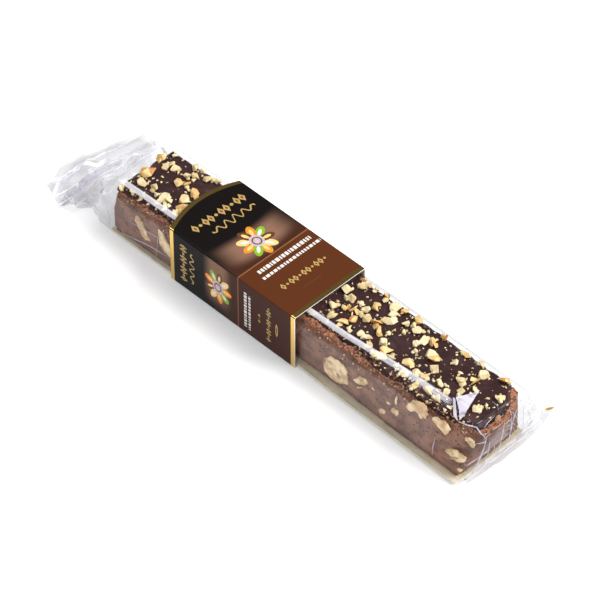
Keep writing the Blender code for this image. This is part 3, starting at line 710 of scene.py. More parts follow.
class NougatBarSettings(bpy.types.PropertyGroup):
    nougat_colour: FloatVectorProperty(
        name="Nougat", description="Colour of the cut nougat", subtype="COLOR",
        default=(0.248, 0.114, 0.071), min=0.0, max=1.0,
    )
    chocolate_colour: FloatVectorProperty(
        name="Chocolate", description="Colour of the chocolate top", subtype="COLOR",
        default=(0.030, 0.0105, 0.0105), min=0.0, max=1.0,
    )
    board_colour: FloatVectorProperty(
        name="Board", description="Colour of the board under the bar", subtype="COLOR",
        default=(0.80, 0.72, 0.54), min=0.0, max=1.0,
    )
    film_tint: FloatVectorProperty(
        name="Film tint", description="What the crumpled film lets through", subtype="COLOR",
        default=(0.87, 0.87, 0.875), min=0.0, max=1.0,
    )
    block_voxel: FloatProperty(
        name="Block detail", description="Distance between the block's points", unit="LENGTH",
        default=0.7 * MM, min=0.3 * MM, max=3 * MM,
    )
    crumb_count: IntProperty(
        name="Nut crumbs", description="How many small nut crumbs lie on the chocolate",
        default=420, min=0, max=2000,
    )
    seed: IntProperty(name="Seed", description="Seed of everything that is scattered", default=5)


# The nougat block


def block_surface(settings):
    """The block's CAD mesh, merged and remeshed evenly, as a new mesh."""
    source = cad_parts["nougat_body"]
    bm = bmesh.new()
    bm.from_mesh(source.data)
    bmesh.ops.remove_doubles(bm, verts=bm.verts, dist=0.001 * MM)
    mesh = bpy.data.meshes.new("block source")
    bm.to_mesh(mesh)
    bm.free()
    carrier = bpy.data.objects.new("block source", mesh)
    bpy.context.scene.collection.objects.link(carrier)
    remesh = carrier.modifiers.new("even", "REMESH")
    remesh.mode = "VOXEL"
    remesh.voxel_size = settings.block_voxel
    evaluated = carrier.evaluated_get(bpy.context.evaluated_depsgraph_get())
    even = bpy.data.meshes.new_from_object(evaluated)
    bpy.data.objects.remove(carrier, do_unlink=True)
    return even


def block_relief(point, normal):
    """How far the block's surface stands out at a point: waves, pores and crumbly edges."""
    wave = noise.noise(point * 120) * 0.12 * MM
    fine = noise.noise(point * 520 + Vector((5, 1, 0))) * 0.10 * MM
    crumbly = smoothstep(22.2 * MM, 23.4 * MM, point.z + noise.noise(point * 200) * 1.4 * MM)
    crumb = (abs(noise.noise(point * 640)) - 0.28) * 1.3 * MM * crumbly
    pit = max(noise.noise(point * 700 + Vector((9, 9, 9))) - 0.42, 0.0) * 1.2 * MM
    tuck = 1.0 - smoothstep(BLOCK_LOW.z + 0.2 * MM, BLOCK_LOW.z + 2.2 * MM, point.z)
    tuck *= 1.1 * MM * (1.0 - abs(normal.z))
    return wave + fine + crumb - pit * (1.0 - crumbly) - tuck


class NOUGAT_OT_block(bpy.types.Operator):
    """Builds the nougat block with its cut sides, pores and crumbly upper edges."""

    bl_idname = "nougat.block"
    bl_label = "Nougat block"

    def execute(self, context):
        settings = context.scene.nougat_bar
        mesh = block_surface(settings)
        # The normals are all read first, because moving a point changes its neighbours'
        normals = [vert.normal.copy() for vert in mesh.vertices]
        for vert, normal in zip(mesh.vertices, normals):
            vert.co += normal * block_relief(vert.co, normal)
        block = piece("nougat_block", mesh, [nougat_material(settings)])
        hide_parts("nougat_body")
        return {"FINISHED"}


def side_nut(bm, centre, facing, half_length, half_height, tilt, draw):
    """A cut nut: a flat irregular disc that bulges a little from the side it lies in.

    facing is the side's outward normal, and tilt turns the disc's length down to the right.
    """
    shape = bmesh.ops.create_icosphere(bm, subdivisions=4, radius=1.0)["verts"]
    to_side = Vector((0, -1, 0)).rotation_difference(facing).to_matrix()
    turn = to_side @ Matrix.Rotation(math.radians(tilt), 3, "Y")
    offset = Vector((draw.uniform(0, 50), draw.uniform(0, 50), 0))
    for vert in shape:
        direction = vert.co.copy()
        wobble = 1.0 + 0.26 * noise.noise(direction * 1.3 + offset)
        wobble += 0.22 * noise.noise(direction * 3.5 + offset)
        wobble += 0.09 * noise.noise(direction * 9.0 + offset)
        flat = turn @ (Vector((direction.x * half_length, 0, direction.z * half_height)) * wobble)
        depth = math.copysign(abs(direction.y) ** 0.35, direction.y) * 0.45 * MM
        rough = noise.noise(flat * 700 + offset) * 0.10 * MM
        vert.co = centre + flat - facing * (depth + rough)


def scatter_pit_shades(bm, block, draw):
    """Sets dark chunks, painted shade of pits, into both cut sides of the block, more of them where
    it is torn.
    """
    for _ in range(PIT_DRAWS):
        x, z = draw.uniform(*PIT_LENGTHS), draw.uniform(*PIT_HEIGHTS)
        side = draw.choice((-1, 1))
        torn = TORN_PART[0] < x < TORN_PART[1]
        if under_sleeve(x, 0, 3) or not torn and draw.random() > 0.4:
            continue
        spot = block.ray_cast(Vector((x, side * ABOVE, z)), Vector((0, -side, 0)))[0]
        size = draw.uniform(0.35, 1.0) ** 1.4 * 1.2 * MM
        spot -= Vector((0, side * size * 0.3, 0))
        chunk(bm, spot, size, size * 0.7, draw, corners=7, soften=False)


class NOUGAT_OT_side_nuts(bpy.types.Operator):
    """Sets whole nuts that the knife cut through, with painted shade in their hollows, and pits of
    painted shade, into the block's long sides.
    """

    bl_idname = "nougat.side_nuts"
    bl_label = "Side nuts"

    def execute(self, context):
        settings = context.scene.nougat_bar
        draw = random.Random(settings.seed + 1)
        block = tree_of("nougat_block")
        for name, nuts, sunk, tones in (
            ("side_nuts", SIDE_NUTS, 0.22 * MM, SIDE_NUT_TONES),
            # The hollows are flat darker patches: painted shade
            ("side_nut_hollow_shades", SIDE_HOLLOW_SHADES, 0.03 * MM, HOLLOW_SHADE_TONES),
        ):
            bm = bmesh.new()
            for column, row, half_length, half_height, tilt in nuts:
                spot, normal, _, _ = block.ray_cast(EYE, sight_line(column, row))
                if spot is None:
                    raise RuntimeError(f"no block is seen at pixel {column}, {row}")
                facing = Vector((0, -1, 0)) if normal.y < -abs(normal.x) else Vector((1, 0, 0))
                centre = spot - facing * sunk
                side_nut(bm, centre, facing, half_length * MM, half_height * MM, tilt, draw)
            if nuts is SIDE_NUTS:
                facing = Vector((0, 1, 0))
                for x, z, half_length, half_height, tilt in FAR_NUTS:
                    start = Vector((x * MM, ABOVE, z * MM))
                    centre = block.ray_cast(start, -facing)[0] - facing * sunk
                    side_nut(bm, centre, facing, half_length * MM, half_height * MM, tilt, draw)
            piece(name, bm, [nut_material(name, *tones)])
        # Dark chunks in the pits: painted shade of these holes
        pit_shades = bmesh.new()
        scatter_pit_shades(pit_shades, block, draw)
        dark = nut_material("pit", (0.03, 0.010, 0.007), (0.07, 0.025, 0.016), (0.02, 0.007, 0.005))
        piece("nougat_pit_shades", pit_shades, [dark], smooth=False)
        return {"FINISHED"}


# The chocolate


def chocolate_near(x):
    return along(CHOCOLATE_NEAR_INSETS, x / MM) * MM - BLOCK_HALF


def outline_point(along_share, across_share):
    """A point of the chocolate's uneven plan outline or inside it, from two shares of 0 to 1."""
    far = BLOCK_HALF - CHOCOLATE_FAR_INSET
    left = BLOCK_LEFT + 0.3 * MM
    right = end_at_top((2 * across_share - 1) * far) - RIM_WIDTH
    x = left + (right - left) * along_share
    near = chocolate_near(x)
    y = near + (far - near) * across_share
    y += lean_in(x, y)
    ragged = Vector((x, y, 0))
    edge = max(abs(across_share - 0.5), abs(along_share - 0.5)) * 2
    shift = smoothstep(0.85, 1.0, edge)
    x += shift * noise.noise(ragged * 190) * 0.9 * MM
    y += shift * noise.noise(ragged * 190 + Vector((7, 5, 3))) * 0.9 * MM
    return x, y


def chocolate_height(x, y):
    swell = 0.55 * MM * noise.noise(Vector((x, y, 0)) * 130)
    ripple = 0.28 * MM * noise.noise(Vector((x * 0.6, y, 0)) * 420 + Vector((3, 3, 3)))
    return POUR_TOP + swell + ripple


class NOUGAT_OT_chocolate(bpy.types.Operator):
    """Builds the chocolate layer, uneven on top and ragged along its edges."""

    bl_idname = "nougat.chocolate"
    bl_label = "Chocolate"

    def execute(self, context):
        settings = context.scene.nougat_bar
        columns, rows = CHOCOLATE_GRID
        bm = bmesh.new()
        bmesh.ops.create_grid(bm, x_segments=columns, y_segments=rows, size=0.5)
        for vert in bm.verts:
            along_share, across_share = vert.co.x + 0.5, vert.co.y + 0.5
            x, y = outline_point(along_share, across_share)
            edge_in = min(along_share, 1 - along_share) * 200 * MM
            edge_in = min(edge_in, min(across_share, 1 - across_share) * 32 * MM)
            lip = 0.9 * MM * (1.0 - smoothstep(0.0, 1.8 * MM, edge_in)) ** 2
            vert.co = on_board(Vector((x, y, chocolate_height(x, y) - lip)))
        for drop, out in CHOCOLATE_SKIRT:
            rim = [edge for edge in bm.edges if edge.is_boundary]
            skirt = bmesh.ops.extrude_edge_only(bm, edges=rim)["geom"]
            for vert in (item for item in skirt if isinstance(item, bmesh.types.BMVert)):
                outward = Vector((0, math.copysign(1.0, vert.co.y), 0))
                if vert.co.y > 7 * MM - BLOCK_HALF and vert.co.y < BLOCK_HALF - 4 * MM:
                    outward = Vector((math.copysign(1.0, vert.co.x), 0, 0))
                vert.co += outward * out * MM
                ragged = noise.noise(vert.co * 260) * 0.8 * MM
                vert.co.z = POUR_TOP - 0.9 * MM - drop * MM * 0.8 + ragged * (drop > 1)
        rim = [edge for edge in bm.edges if edge.is_boundary]
        bmesh.ops.contextual_create(bm, geom=rim)
        bmesh.ops.recalc_face_normals(bm, faces=bm.faces)
        layer = piece("chocolate_layer", bm, [chocolate_material(settings)])
        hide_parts("chocolate_top")
        return {"FINISHED"}


# The chopped nuts


def chunk(bm, centre, length, flatness, draw, corners=12, soften=True, skin_share=0.0):
    """A broken piece of nut: the hull of a few points, its edges softened.

    With a skin share, the faces that look to one side get the second material.
    """
    part = bmesh.new()
    turn = Matrix.Rotation(draw.uniform(0, 2 * math.pi), 3, "Z")
    tilt = Matrix.Rotation(draw.uniform(-0.5, 0.5), 3, "X")
    width = length * draw.uniform(0.62, 0.9)
    for _ in range(corners):
        direction = Vector((draw.gauss(0, 1), draw.gauss(0, 1), draw.gauss(0, 0.8))).normalized()
        direction *= draw.uniform(0.75, 1.0)
        point = Vector((direction.x * length / 2, direction.y * width / 2, 0))
        point = turn @ tilt @ point
        point.z += direction.z * flatness / 2
        point.z = max(min(point.z, flatness / 2), -flatness / 2)
        part.verts.new(centre + point)
    hull = bmesh.ops.convex_hull(part, input=part.verts)
    bmesh.ops.delete(part, geom=hull["geom_interior"], context="VERTS")
    bmesh.ops.dissolve_limit(
        part, angle_limit=math.radians(14), verts=part.verts, edges=part.edges
    )
    if soften:
        bmesh.ops.bevel(
            part, geom=part.edges, offset=length * 0.035, affect="EDGES", segments=2,
            profile=0.5, material=-1, clamp_overlap=True,
        )
    bmesh.ops.triangulate(part, faces=part.faces)
    side = turn @ Vector((0.3, 1, 0.5)).normalized()
    part.normal_update()
    for face in part.faces:
        face.material_index = 1 if face.normal.dot(side) > 1.0 - 2 * skin_share else 0
    mesh = bpy.data.meshes.new("chunk")
    part.to_mesh(mesh)
    part.free()
    bm.from_mesh(mesh)
    bpy.data.meshes.remove(mesh)


def nut_spot(surface, column, row):
    """Where a nut that is seen at a pixel sits on the chocolate."""
    spot = seen_at_height(column, row, POUR_TOP + 1.0 * MM)
    return surface.ray_cast(spot + Vector((0, 0, 10 * MM)), DOWN)[0]


def free_spot(draw, surface):
    """A seeded place on the chocolate, outside the sleeve."""
    while True:
        x = draw.uniform(BLOCK_LEFT + 1 * MM, END_TOP - 5 * MM)
        y = draw.uniform(-BLOCK_HALF + 2.2 * MM, BLOCK_HALF - 1.4 * MM)
        if under_sleeve(x, 8, 4):
            continue
        hit = dropped(surface, x, on_board(Vector((x, y, 0))).y)
        if hit is not None:
            return hit


class NOUGAT_OT_chopped_nuts(bpy.types.Operator):
    """Lays the chopped nuts on the chocolate, by kind, and the small crumbs between them."""

    bl_idname = "nougat.chopped_nuts"
    bl_label = "Chopped nuts"

    def execute(self, context):
        settings = context.scene.nougat_bar
        draw = random.Random(settings.seed)
        surface = tree_of("chocolate_layer")
        flesh = nut_material("pale nut", (0.62, 0.47, 0.23), (0.80, 0.67, 0.41), (0.60, 0.34, 0.11))
        golds = ((0.64, 0.38, 0.11), (0.80, 0.60, 0.28), (0.50, 0.20, 0.04))
        gold = nut_material("toasted nut", *golds)
        skin = nut_material("nut skin", (0.42, 0.13, 0.03), (0.60, 0.24, 0.06), (0.30, 0.08, 0.02))
        kinds = {"pale": bmesh.new(), "toasted": bmesh.new(), "skin": bmesh.new()}
        for column, row, length, kind in LEFT_NUTS + RIGHT_NUTS:
            spot = nut_spot(surface, column, row)
            if spot is None:
                continue
            flat = min(length * draw.uniform(0.7, 0.95), 3.2) * MM
            lift = min(flat * 0.32, NUT_CEILING - flat / 2 - spot.z)
            share = {"pale": 0.0, "toasted": 0.0, "skin": 0.36}[kind]
            centre = spot + Vector((0, 0, lift))
            chunk(kinds[kind], centre, length * 1.5 * MM, flat, draw, skin_share=share)
            turn = draw.uniform(0, 2 * math.pi)
            aside = Vector((math.cos(turn), math.sin(turn), -0.2)) * length * 0.42 * MM
            chunk(kinds[kind], centre + aside, length * 0.95 * MM, flat * 0.75, draw)
        piece("pale_nuts", kinds["pale"], [flesh, gold], smooth=False)
        piece("toasted_nuts", kinds["toasted"], [gold, flesh], smooth=False)
        piece("skin_nuts", kinds["skin"], [gold, skin], smooth=False)
        crumbs = bmesh.new()
        for _ in range(settings.crumb_count):
            spot = free_spot(draw, surface)
            length = draw.uniform(0.5, 1.6) ** 1.5 * 1.25 * MM
            chunk(crumbs, spot, length, length * 0.8, draw, corners=8, soften=False)
        piece("nut_crumbs", crumbs, [flesh], smooth=False)
        return {"FINISHED"}


class NOUGAT_OT_edge_crumbs(bpy.types.Operator):
    """Strews nougat and nut crumbs over the block's upper edges and the chocolate's near edge."""

    bl_idname = "nougat.edge_crumbs"
    bl_label = "Edge crumbs"

    def execute(self, context):
        settings = context.scene.nougat_bar
        draw = random.Random(settings.seed + 2)
        block = tree_of("nougat_block")
        browns = ((0.10, 0.03, 0.014), (0.33, 0.13, 0.06), (0.5, 0.28, 0.14))
        brown = nut_material("nougat crumb", *browns)
        flesh = nut_material("edge nut", (0.50, 0.33, 0.16), (0.74, 0.58, 0.34), (0.4, 0.2, 0.08))
        kinds = (bmesh.new(), bmesh.new())
        for _ in range(RIM_CRUMB_DRAWS):
            x = draw.uniform(BLOCK_LEFT, END_TOP)
            if under_sleeve(x, 6, 2):
                continue
            y = -BLOCK_HALF + draw.uniform(0.0, 3.4) * MM
            if draw.random() < 0.25:
                y = BLOCK_HALF - draw.uniform(0.0, 1.4) * MM
            y = on_board(Vector((x, y + lean_in(x, y), 0))).y
            hit = dropped(block, x, y)
            if hit is None or hit.z < 18 * MM:
                continue
            length = draw.uniform(0.5, 1.7) * MM
            kind = 1 if draw.random() < 0.12 else 0
            chunk(kinds[kind], hit, length, length * 0.7, draw, corners=8, soften=False)
        chocolate = tree_of("chocolate_layer")
        for _ in range(POUR_CRUMB_DRAWS):
            x = draw.uniform(BLOCK_LEFT + 1 * MM, END_TOP - 7 * MM)
            if under_sleeve(x, 6, 2):
                continue
            y = chocolate_near(x) + abs(draw.gauss(0, 1.3)) * MM - 0.4 * MM
            y = on_board(Vector((x, y + lean_in(x, y), 0))).y
            hit = dropped(chocolate, x, y)
            if hit is None:
                continue
            length = draw.uniform(0.6, 2.2) * MM
            kind = 1 if draw.random() < 0.3 else 0
            chunk(kinds[kind], hit, length, length * 0.6, draw, corners=9, soften=False)
        piece("nougat_crumbs", kinds[0], [brown], smooth=False)
        piece("edge_nut_crumbs", kinds[1], [flesh], smooth=False)
        return {"FINISHED"}


# The sleeve and the board


def sleeve_section(half, low, high, radius):
    """The sleeve's cross section as (y, z) points, with rounded folds and a divided top."""
    corners = ((half, low, -90), (half, high, 0), (-half, high, 90), (-half, low, 180))
    section = []
    for y, z, first in corners:
        centre_y = y - math.copysign(radius, y)
        centre_z = z + radius if z == low else z - radius
        for step in range(FOLD_STEPS + 1):
            angle = math.radians(first + 90 * step / FOLD_STEPS)
            section.append(
                (centre_y + radius * math.cos(angle), centre_z + radius * math.sin(angle))
            )
        if z == high and y > 0:
            span = half - radius
            section += [(span - 2 * span * i / TOP_STEPS, high) for i in range(1, TOP_STEPS)]
    return section


def sleeve_arch(y):
    return SLEEVE_ARCH * (1.0 - (y / SLEEVE_HALF) ** 2)


def sleeve_loop(bm, section, share):
    """One loop of the sleeve, at a share of its length; the left end is arched on top."""
    verts = []
    for y, z in section:
        x = SLEEVE_LEFT + (SLEEVE_HIGH.x - SLEEVE_LEFT) * share
        on_top = smoothstep(SLEEVE_HIGH.z - 1.5 * MM, SLEEVE_HIGH.z - 0.4 * MM, z)
        x -= sleeve_arch(y) * on_top * (1.0 - smoothstep(0.04, 0.5, share))
        verts.append(bm.verts.new((x, y, z)))
    return verts


class NOUGAT_OT_sleeve(bpy.types.Operator):
    """Folds the printed card sleeve, with foil bands at both ends and a pale cut edge."""

    bl_idname = "nougat.sleeve"
    bl_label = "Printed sleeve"

    def execute(self, context):
        outer = sleeve_section(SLEEVE_HALF, 0.0, SLEEVE_HIGH.z, SLEEVE_FOLD)
        inner = sleeve_section(
            SLEEVE_HALF - SLEEVE_WALL, SLEEVE_WALL, SLEEVE_HIGH.z - SLEEVE_WALL,
            SLEEVE_FOLD - SLEEVE_WALL,
        )
        bm = bmesh.new()
        length = SLEEVE_HIGH.x - SLEEVE_LEFT
        band = BAND_WIDTH / length
        middle = [step / SLEEVE_STEPS for step in range(1, SLEEVE_STEPS)]
        shares = [0.0, band, *middle, 1.0 - band, 1.0]
        loops = [sleeve_loop(bm, outer, share) for share in shares]
        loops += [sleeve_loop(bm, inner, share) for share in (1.0, 1.0 - band, 0.5, band, 0.0)]
        # The material between each loop and the next: foil, print, foil, then bare card
        kinds = [1] + [0] * (len(shares) - 3) + [1, 2, 2, 2, 2, 2, 2]
        for first, second, kind in zip(loops, loops[1:] + loops[:1], kinds):
            pairs = list(zip(first, second))
            for (a, b), (c, d) in zip(pairs, pairs[1:] + pairs[:1]):
                bm.faces.new((a, c, d, b)).material_index = kind
        bmesh.ops.recalc_face_normals(bm, faces=bm.faces)
        pale, _, _ = new_surface("bare card", (0.86, 0.82, 0.74), 0.7)
        materials = [sleeve_material(context.scene.nougat_bar), foil_material(), pale]
        sleeve = piece("printed_sleeve", bm, materials, smooth=True)
        sleeve.data.set_sharp_from_angle(angle=math.radians(35))
        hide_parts("card_sleeve")
        return {"FINISHED"}


# The print: plain marks where a sleeve like this has its lettering and its picture. Every
# mark is laid out in mm on a panel: (along the bar, across it) on top, and (along the bar,
# height) on the near and far sides


def top_panel(a, b, layer):
    return Vector((a * MM, b * MM, SLEEVE_HIGH.z + PRINT_LIFT * layer))


def near_panel(a, b, layer):
    return Vector((a * MM, SLEEVE_LOW.y - PRINT_LIFT * layer, b * MM))


def far_panel(a, b, layer):
    return Vector((a * MM, SLEEVE_HIGH.y + PRINT_LIFT * layer, b * MM))


def mark(bm, panel, corners, kind, layer=1):
    """A flat patch of ink, facing out of the sleeve."""
    face = bm.faces.new([bm.verts.new(panel(a, b, layer)) for a, b in corners])
    face.material_index = kind
    face.normal_update()
    middle = (SLEEVE_LOW + SLEEVE_HIGH) / 2
    outward = face.calc_center_median() - middle
    outward.x = 0
    if face.normal.dot(outward) < 0:
        face.normal_flip()


def oval(a, b, radius_a, radius_b, turn=0.0, count=24):
    corners = []
    for index in range(count):
        angle = 2 * math.pi * index / count
        along_a, along_b = radius_a * math.cos(angle), radius_b * math.sin(angle)
        corners.append(
            (a + along_a * math.cos(turn) - along_b * math.sin(turn),
             b + along_a * math.sin(turn) + along_b * math.cos(turn))
        )
    return corners


def lozenge_row(bm, panel, a, start, end, height, count):
    """Lozenges and dots in turn along a line of the panel at a."""
    step = (end - start) / count
    for index in range(count):
        b = start + step * (index + 0.5)
        if index % 3 == 1:
            mark(bm, panel, oval(a, b, height * 0.16, height * 0.16, count=10), GOLD)
        else:
            mark(bm, panel, oval(a, b, height * 0.5, step * 0.5, count=4), GOLD)
            mark(bm, panel, oval(a, b, height * 0.2, step * 0.16, count=4), UMBER, 2)


def wave_row(bm, panel, a, start, end, swing, thickness, turns):
    """A waved gold line, thicker on its way up than on its way down."""
    steps = 72
    points = []
    for index in range(steps + 1):
        share = index / steps
        fade = math.sin(math.pi * share) ** 0.5
        height = a + swing * fade * math.sin(share * turns * 2 * math.pi)
        half = thickness * (0.35 + 0.3 * math.cos(share * turns * 2 * math.pi) ** 2)
        points.append((height, start + (end - start) * share, half))
    for (a0, b0, half0), (a1, b1, half1) in zip(points, points[1:]):
        corners = ((a0 - half0, b0), (a0 + half0, b0), (a1 + half1, b1), (a1 - half1, b1))
        mark(bm, panel, corners, GOLD)


def dash_row(bm, panel, a, start, end, height, draw):
    """Light dashes of uneven lengths."""
    b = start
    while b < end:
        length = min(draw.uniform(0.6, 1.9), end - b)
        low_a, high_a = a - height / 2, a + height / 2
        corners = ((low_a, b), (high_a, b), (high_a, b + length), (low_a, b + length))
        mark(bm, panel, corners, IVORY)
        b += length + 0.55


def rosette(bm, panel, a, b, radius, squash):
    """A flower of petals in four colours round a lilac ring."""
    kinds = (AMBER, CREAM, UMBER, LEAF, AMBER, UMBER, CREAM, AMBER, LEAF)
    for index, kind in enumerate(kinds):
        angle = 2 * math.pi * index / len(kinds)
        reach = radius * 0.62
        petal_a = a + reach * math.cos(angle)
        petal_b = b + reach * math.sin(angle) * squash
        shape = oval(petal_a, petal_b, radius * 0.42, radius * 0.22, angle)
        mark(bm, panel, shape, kind, 1 + 0.2 * (index % 3))
        heart = oval(petal_a, petal_b, radius * 0.22, radius * 0.09, angle)
        mark(bm, panel, heart, CREAM if kind in (AMBER, UMBER) else IVORY, 2)
    mark(bm, panel, oval(a, b, radius * 0.4, radius * 0.4 * squash), LILAC, 3)
    mark(bm, panel, oval(a, b, radius * 0.27, radius * 0.27 * squash), UMBER, 4)
    mark(bm, panel, oval(a, b, radius * 0.2, radius * 0.2 * squash), LILAC, 5)


class NOUGAT_OT_print(bpy.types.Operator):
    """Prints the sleeve's top and both sides with plain marks in gold, ivory and soft colours."""

    bl_idname = "nougat.print"
    bl_label = "Print"

    def execute(self, context):
        draw = random.Random(context.scene.nougat_bar.seed + 4)
        bm = bmesh.new()
        lozenge_row(bm, top_panel, -54.2, -14.5, 15.0, 5.2, 10)
        wave_row(bm, top_panel, -47.6, -9.5, 14.5, 1.9, 1.0, 5)
        rosette(bm, top_panel, -31.5, 0.0, 8.8, 0.9)
        dash_row(bm, top_panel, -17.9, -12.5, 17.0, 2.0, draw)
        dash_row(bm, top_panel, -14.0, -13.5, 19.0, 1.5, draw)
        lozenge_row(bm, top_panel, -5.2, -12.0, 13.8, 3.8, 11)
        thin = ((0.7, -5.0), (1.0, -5.0), (1.0, 5.6), (0.7, 5.6))
        mark(bm, top_panel, thin, UMBER)
        for side in (near_panel, far_panel):
            lozenge_row(bm, side, -54.0, 4.5, 25.0, 4.6, 10)
            wave_row(bm, side, -49.0, 6.0, 23.0, 1.3, 0.9, 4)
            rosette(bm, side, -33.6, 15.0, 7.6, 1.15)
            dash_row(bm, side, -17.6, 4.0, 23.5, 1.6, draw)
            dash_row(bm, side, -15.2, 3.5, 23.0, 1.2, draw)
            lozenge_row(bm, side, -9.6, 12.0, 17.0, 1.6, 3)
            lozenge_row(bm, side, -4.2, 5.0, 24.5, 3.2, 11)
            mark(bm, side, oval(0.4, 14.6, 0.75, 3.6, count=12), GOLD)
            mark(bm, side, oval(0.4, 14.6, 0.35, 2.0, count=12), UMBER, 2)
        materials = [
            ink("gold ink", (0.43, 0.285, 0.095)), ink("ivory ink", (0.72, 0.68, 0.64)),
            ink("amber ink", (0.78, 0.25, 0.02)), ink("cream ink", (0.85, 0.55, 0.20)),
            ink("umber ink", (0.12, 0.045, 0.02)), ink("leaf ink", (0.20, 0.42, 0.02)),
            ink("lilac ink", (0.52, 0.42, 0.46)),
        ]
        piece("sleeve_print", bm, materials, smooth=False)
        return {"FINISHED"}


class NOUGAT_OT_board(bpy.types.Operator):
    """Gives the board under the block its finish."""

    bl_idname = "nougat.board"
    bl_label = "Board"

    def execute(self, context):
        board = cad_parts["card_base"]
        board.data.materials.clear()
        board.data.materials.append(board_material(context.scene.nougat_bar))
        return {"FINISHED"}


# The film


def film_section(x):
    """The film's cross section at x, from the near edge of the back seam up and over."""
    middle = BLOCK_CENTRE + SKEW * x
    near_head = middle - BLOCK_HALF - 1.0 * MM
    far_head = middle + BLOCK_HALF + 0.7 * MM - far_side_in(x)
    gleam = along(GLEAM_LINE, x / MM) * MM
    shoulders = {
        -1: ((near_head + 0.3 * MM, 23.8 * MM), (gleam - GLEAM_HALF, 26.95 * MM),
             (gleam + GLEAM_HALF, 28.05 * MM)),
        1: ((far_head - 0.3 * MM, 25.5 * MM), (far_head - 0.7 * MM, 27.4 * MM),
            (far_head - 3.5 * MM, FILM_ROOF - 0.12 * MM)),
    }
    halves = []
    for side, head in ((-1, near_head), (1, far_head)):
        foot = side * FILM_HALF
        if side < 0:
            foot -= along(BOARD_SPREAD, x / MM) * MM
        points = [(side * 0.1 * MM, FILM_FLOOR)]
        points += [(foot * share, FILM_FLOOR) for share in (0.34, 0.68, 0.975)]
        points.append((foot, FILM_FLOOR + 0.5 * MM))
        for height in (5 * MM, 9.5 * MM, 13.5 * MM, 18 * MM, FILM_SIDE_TOP):
            share = (height - FILM_FLOOR) / (FILM_SIDE_TOP - FILM_FLOOR)
            points.append((foot + (head - foot) * share, height))
        points += [
            *shoulders[side],
            (side * 3.0 * MM, FILM_ROOF),
            (side * 1.5 * MM, FILM_ROOF),
        ]
        halves.append(points)
    near, far = halves
    return [*near, (0.0, FILM_ROOF), *reversed(far)]


def half_length_shares(section):
    """For each point of a section, its length of film from the seam, and the half's whole."""
    middle = len(section) // 2
    lengths = [0.0]
    for (y0, z0), (y1, z1) in zip(section, section[1:]):
        lengths.append(lengths[-1] + math.hypot(y1 - y0, z1 - z0))
    near_whole = lengths[middle]
    far_whole = lengths[-1] - near_whole
    near = [(length, near_whole) for length in lengths[: middle + 1]]
    far = [(lengths[-1] - length, far_whole) for length in lengths[middle + 1 :]]
    return near + far


def bar_ring(x, lean=0.0):
    return [
        Vector((x + lean * (z - FILM_FLOOR) / (FILM_ROOF - FILM_FLOOR), y, z))
        for y, z in film_section(x)
    ]


def crimped_ring(section, near_fit, far_fit, place_at, height_at):
    """The film pressed flat: the lower and upper halves close together, folds at both sides."""
    ring = []
    middle = len(section) // 2
    for index, (length, whole) in enumerate(half_length_shares(section)):
        side = -1 if index <= middle else 1
        fit = near_fit if index <= middle else far_fit
        y = side * min(length, whole - length) * fit
        fold = smoothstep(0.0, 2.5 * MM, abs(length - whole / 2))
        level = 0.35 * MM * fold * (-1 if length < whole / 2 else 1)
        ring.append(Vector((place_at(y), y, height_at(y) + level)))
    return ring


def softened(ring, times=2):
    """Cuts the corners of an open ring, which doubles its points each time."""
    for _ in range(times):
        cut = [ring[0]]
        for a, b in zip(ring, ring[1:]):
            cut += [a.lerp(b, 0.25), a.lerp(b, 0.75)]
        ring = cut + [ring[-1]]
    return ring


def line(stops):
    """A line across the film from (width, place) pairs in mm."""
    return lambda y: along(stops, y / MM) * MM


def film_stations():
    """The film's main rings from the left crimp to the right, and how many steps lie between."""
    section = film_section(LEFT_BEND)
    edge_x = line(((-26, -128), (-21, -139), (-7, -142.5), (33, -132.5)))
    edge_z = line(((-26, 2.2), (-20, 4.5), (-7, 5.5), (10, 4.0), (32, 2.2)))
    inner_x = line(((-26, -121), (-20, -128), (-7, -131), (32, -124)))
    inner_z = line(((-26, 2.2), (-12, 5.0), (10, 4.4), (32, 2.4)))
    stations = [
        (crimped_ring(section, 0.78, 1.04, edge_x, edge_z), 14),
        (crimped_ring(section, 0.8, 1.03, inner_x, inner_z), 34),
        (bar_ring(LEFT_BEND, 1.5 * MM), 2),
    ]
    stations += [(bar_ring(x * MM), 14) for x in (-98, -80)]
    stations += [(bar_ring(-62 * MM), 6), (bar_ring(10 * MM), 12)]
    stations += [(bar_ring(x * MM), 24) for x in (30, 62)]
    stations += [(bar_ring(94 * MM), 6), (bar_ring(RIGHT_BEND, 6.2 * MM), 22)]
    section = film_section(RIGHT_BEND)
    inner_x = line(((-18, 101.6), (0, 102.2), (14, 103.6), (24, 104.6), (32, 103.4)))
    inner_z = line(((-18, 1.4), (0, 2.4), (14, 5.0), (24, 9.0), (32, 11.5)))
    edge_x = line(((-18, 103.0), (0, 105.2), (14, 107.2), (24, 107.6), (32, 105.4)))
    edge_z = line(((-18, 1.2), (0, 2.2), (14, 5.4), (24, 10.2), (32, 12.5)))
    stations.append((crimped_ring(section, 0.58, 0.96, inner_x, inner_z), 5))
    stations.append((crimped_ring(section, 0.58, 0.97, edge_x, edge_z), 0))
    return stations


def folds(point, directions):
    """A crumpled height: zigzags in several directions, which leave flat facets between creases."""
    height = 0.0
    for direction, length, share in directions:
        phase = point.dot(direction) / length
        height += share * (abs((phase % 1.0) * 2 - 1) - 0.5)
    return height


def crumple_directions(draw, count, shortest, longest):
    directions = []
    for _ in range(count):
        axis = Vector((draw.gauss(0, 1), draw.gauss(0, 1), draw.gauss(0, 0.5))).normalized()
        length = draw.uniform(shortest, longest)
        directions.append((axis, length, length * 0.16))
    return directions


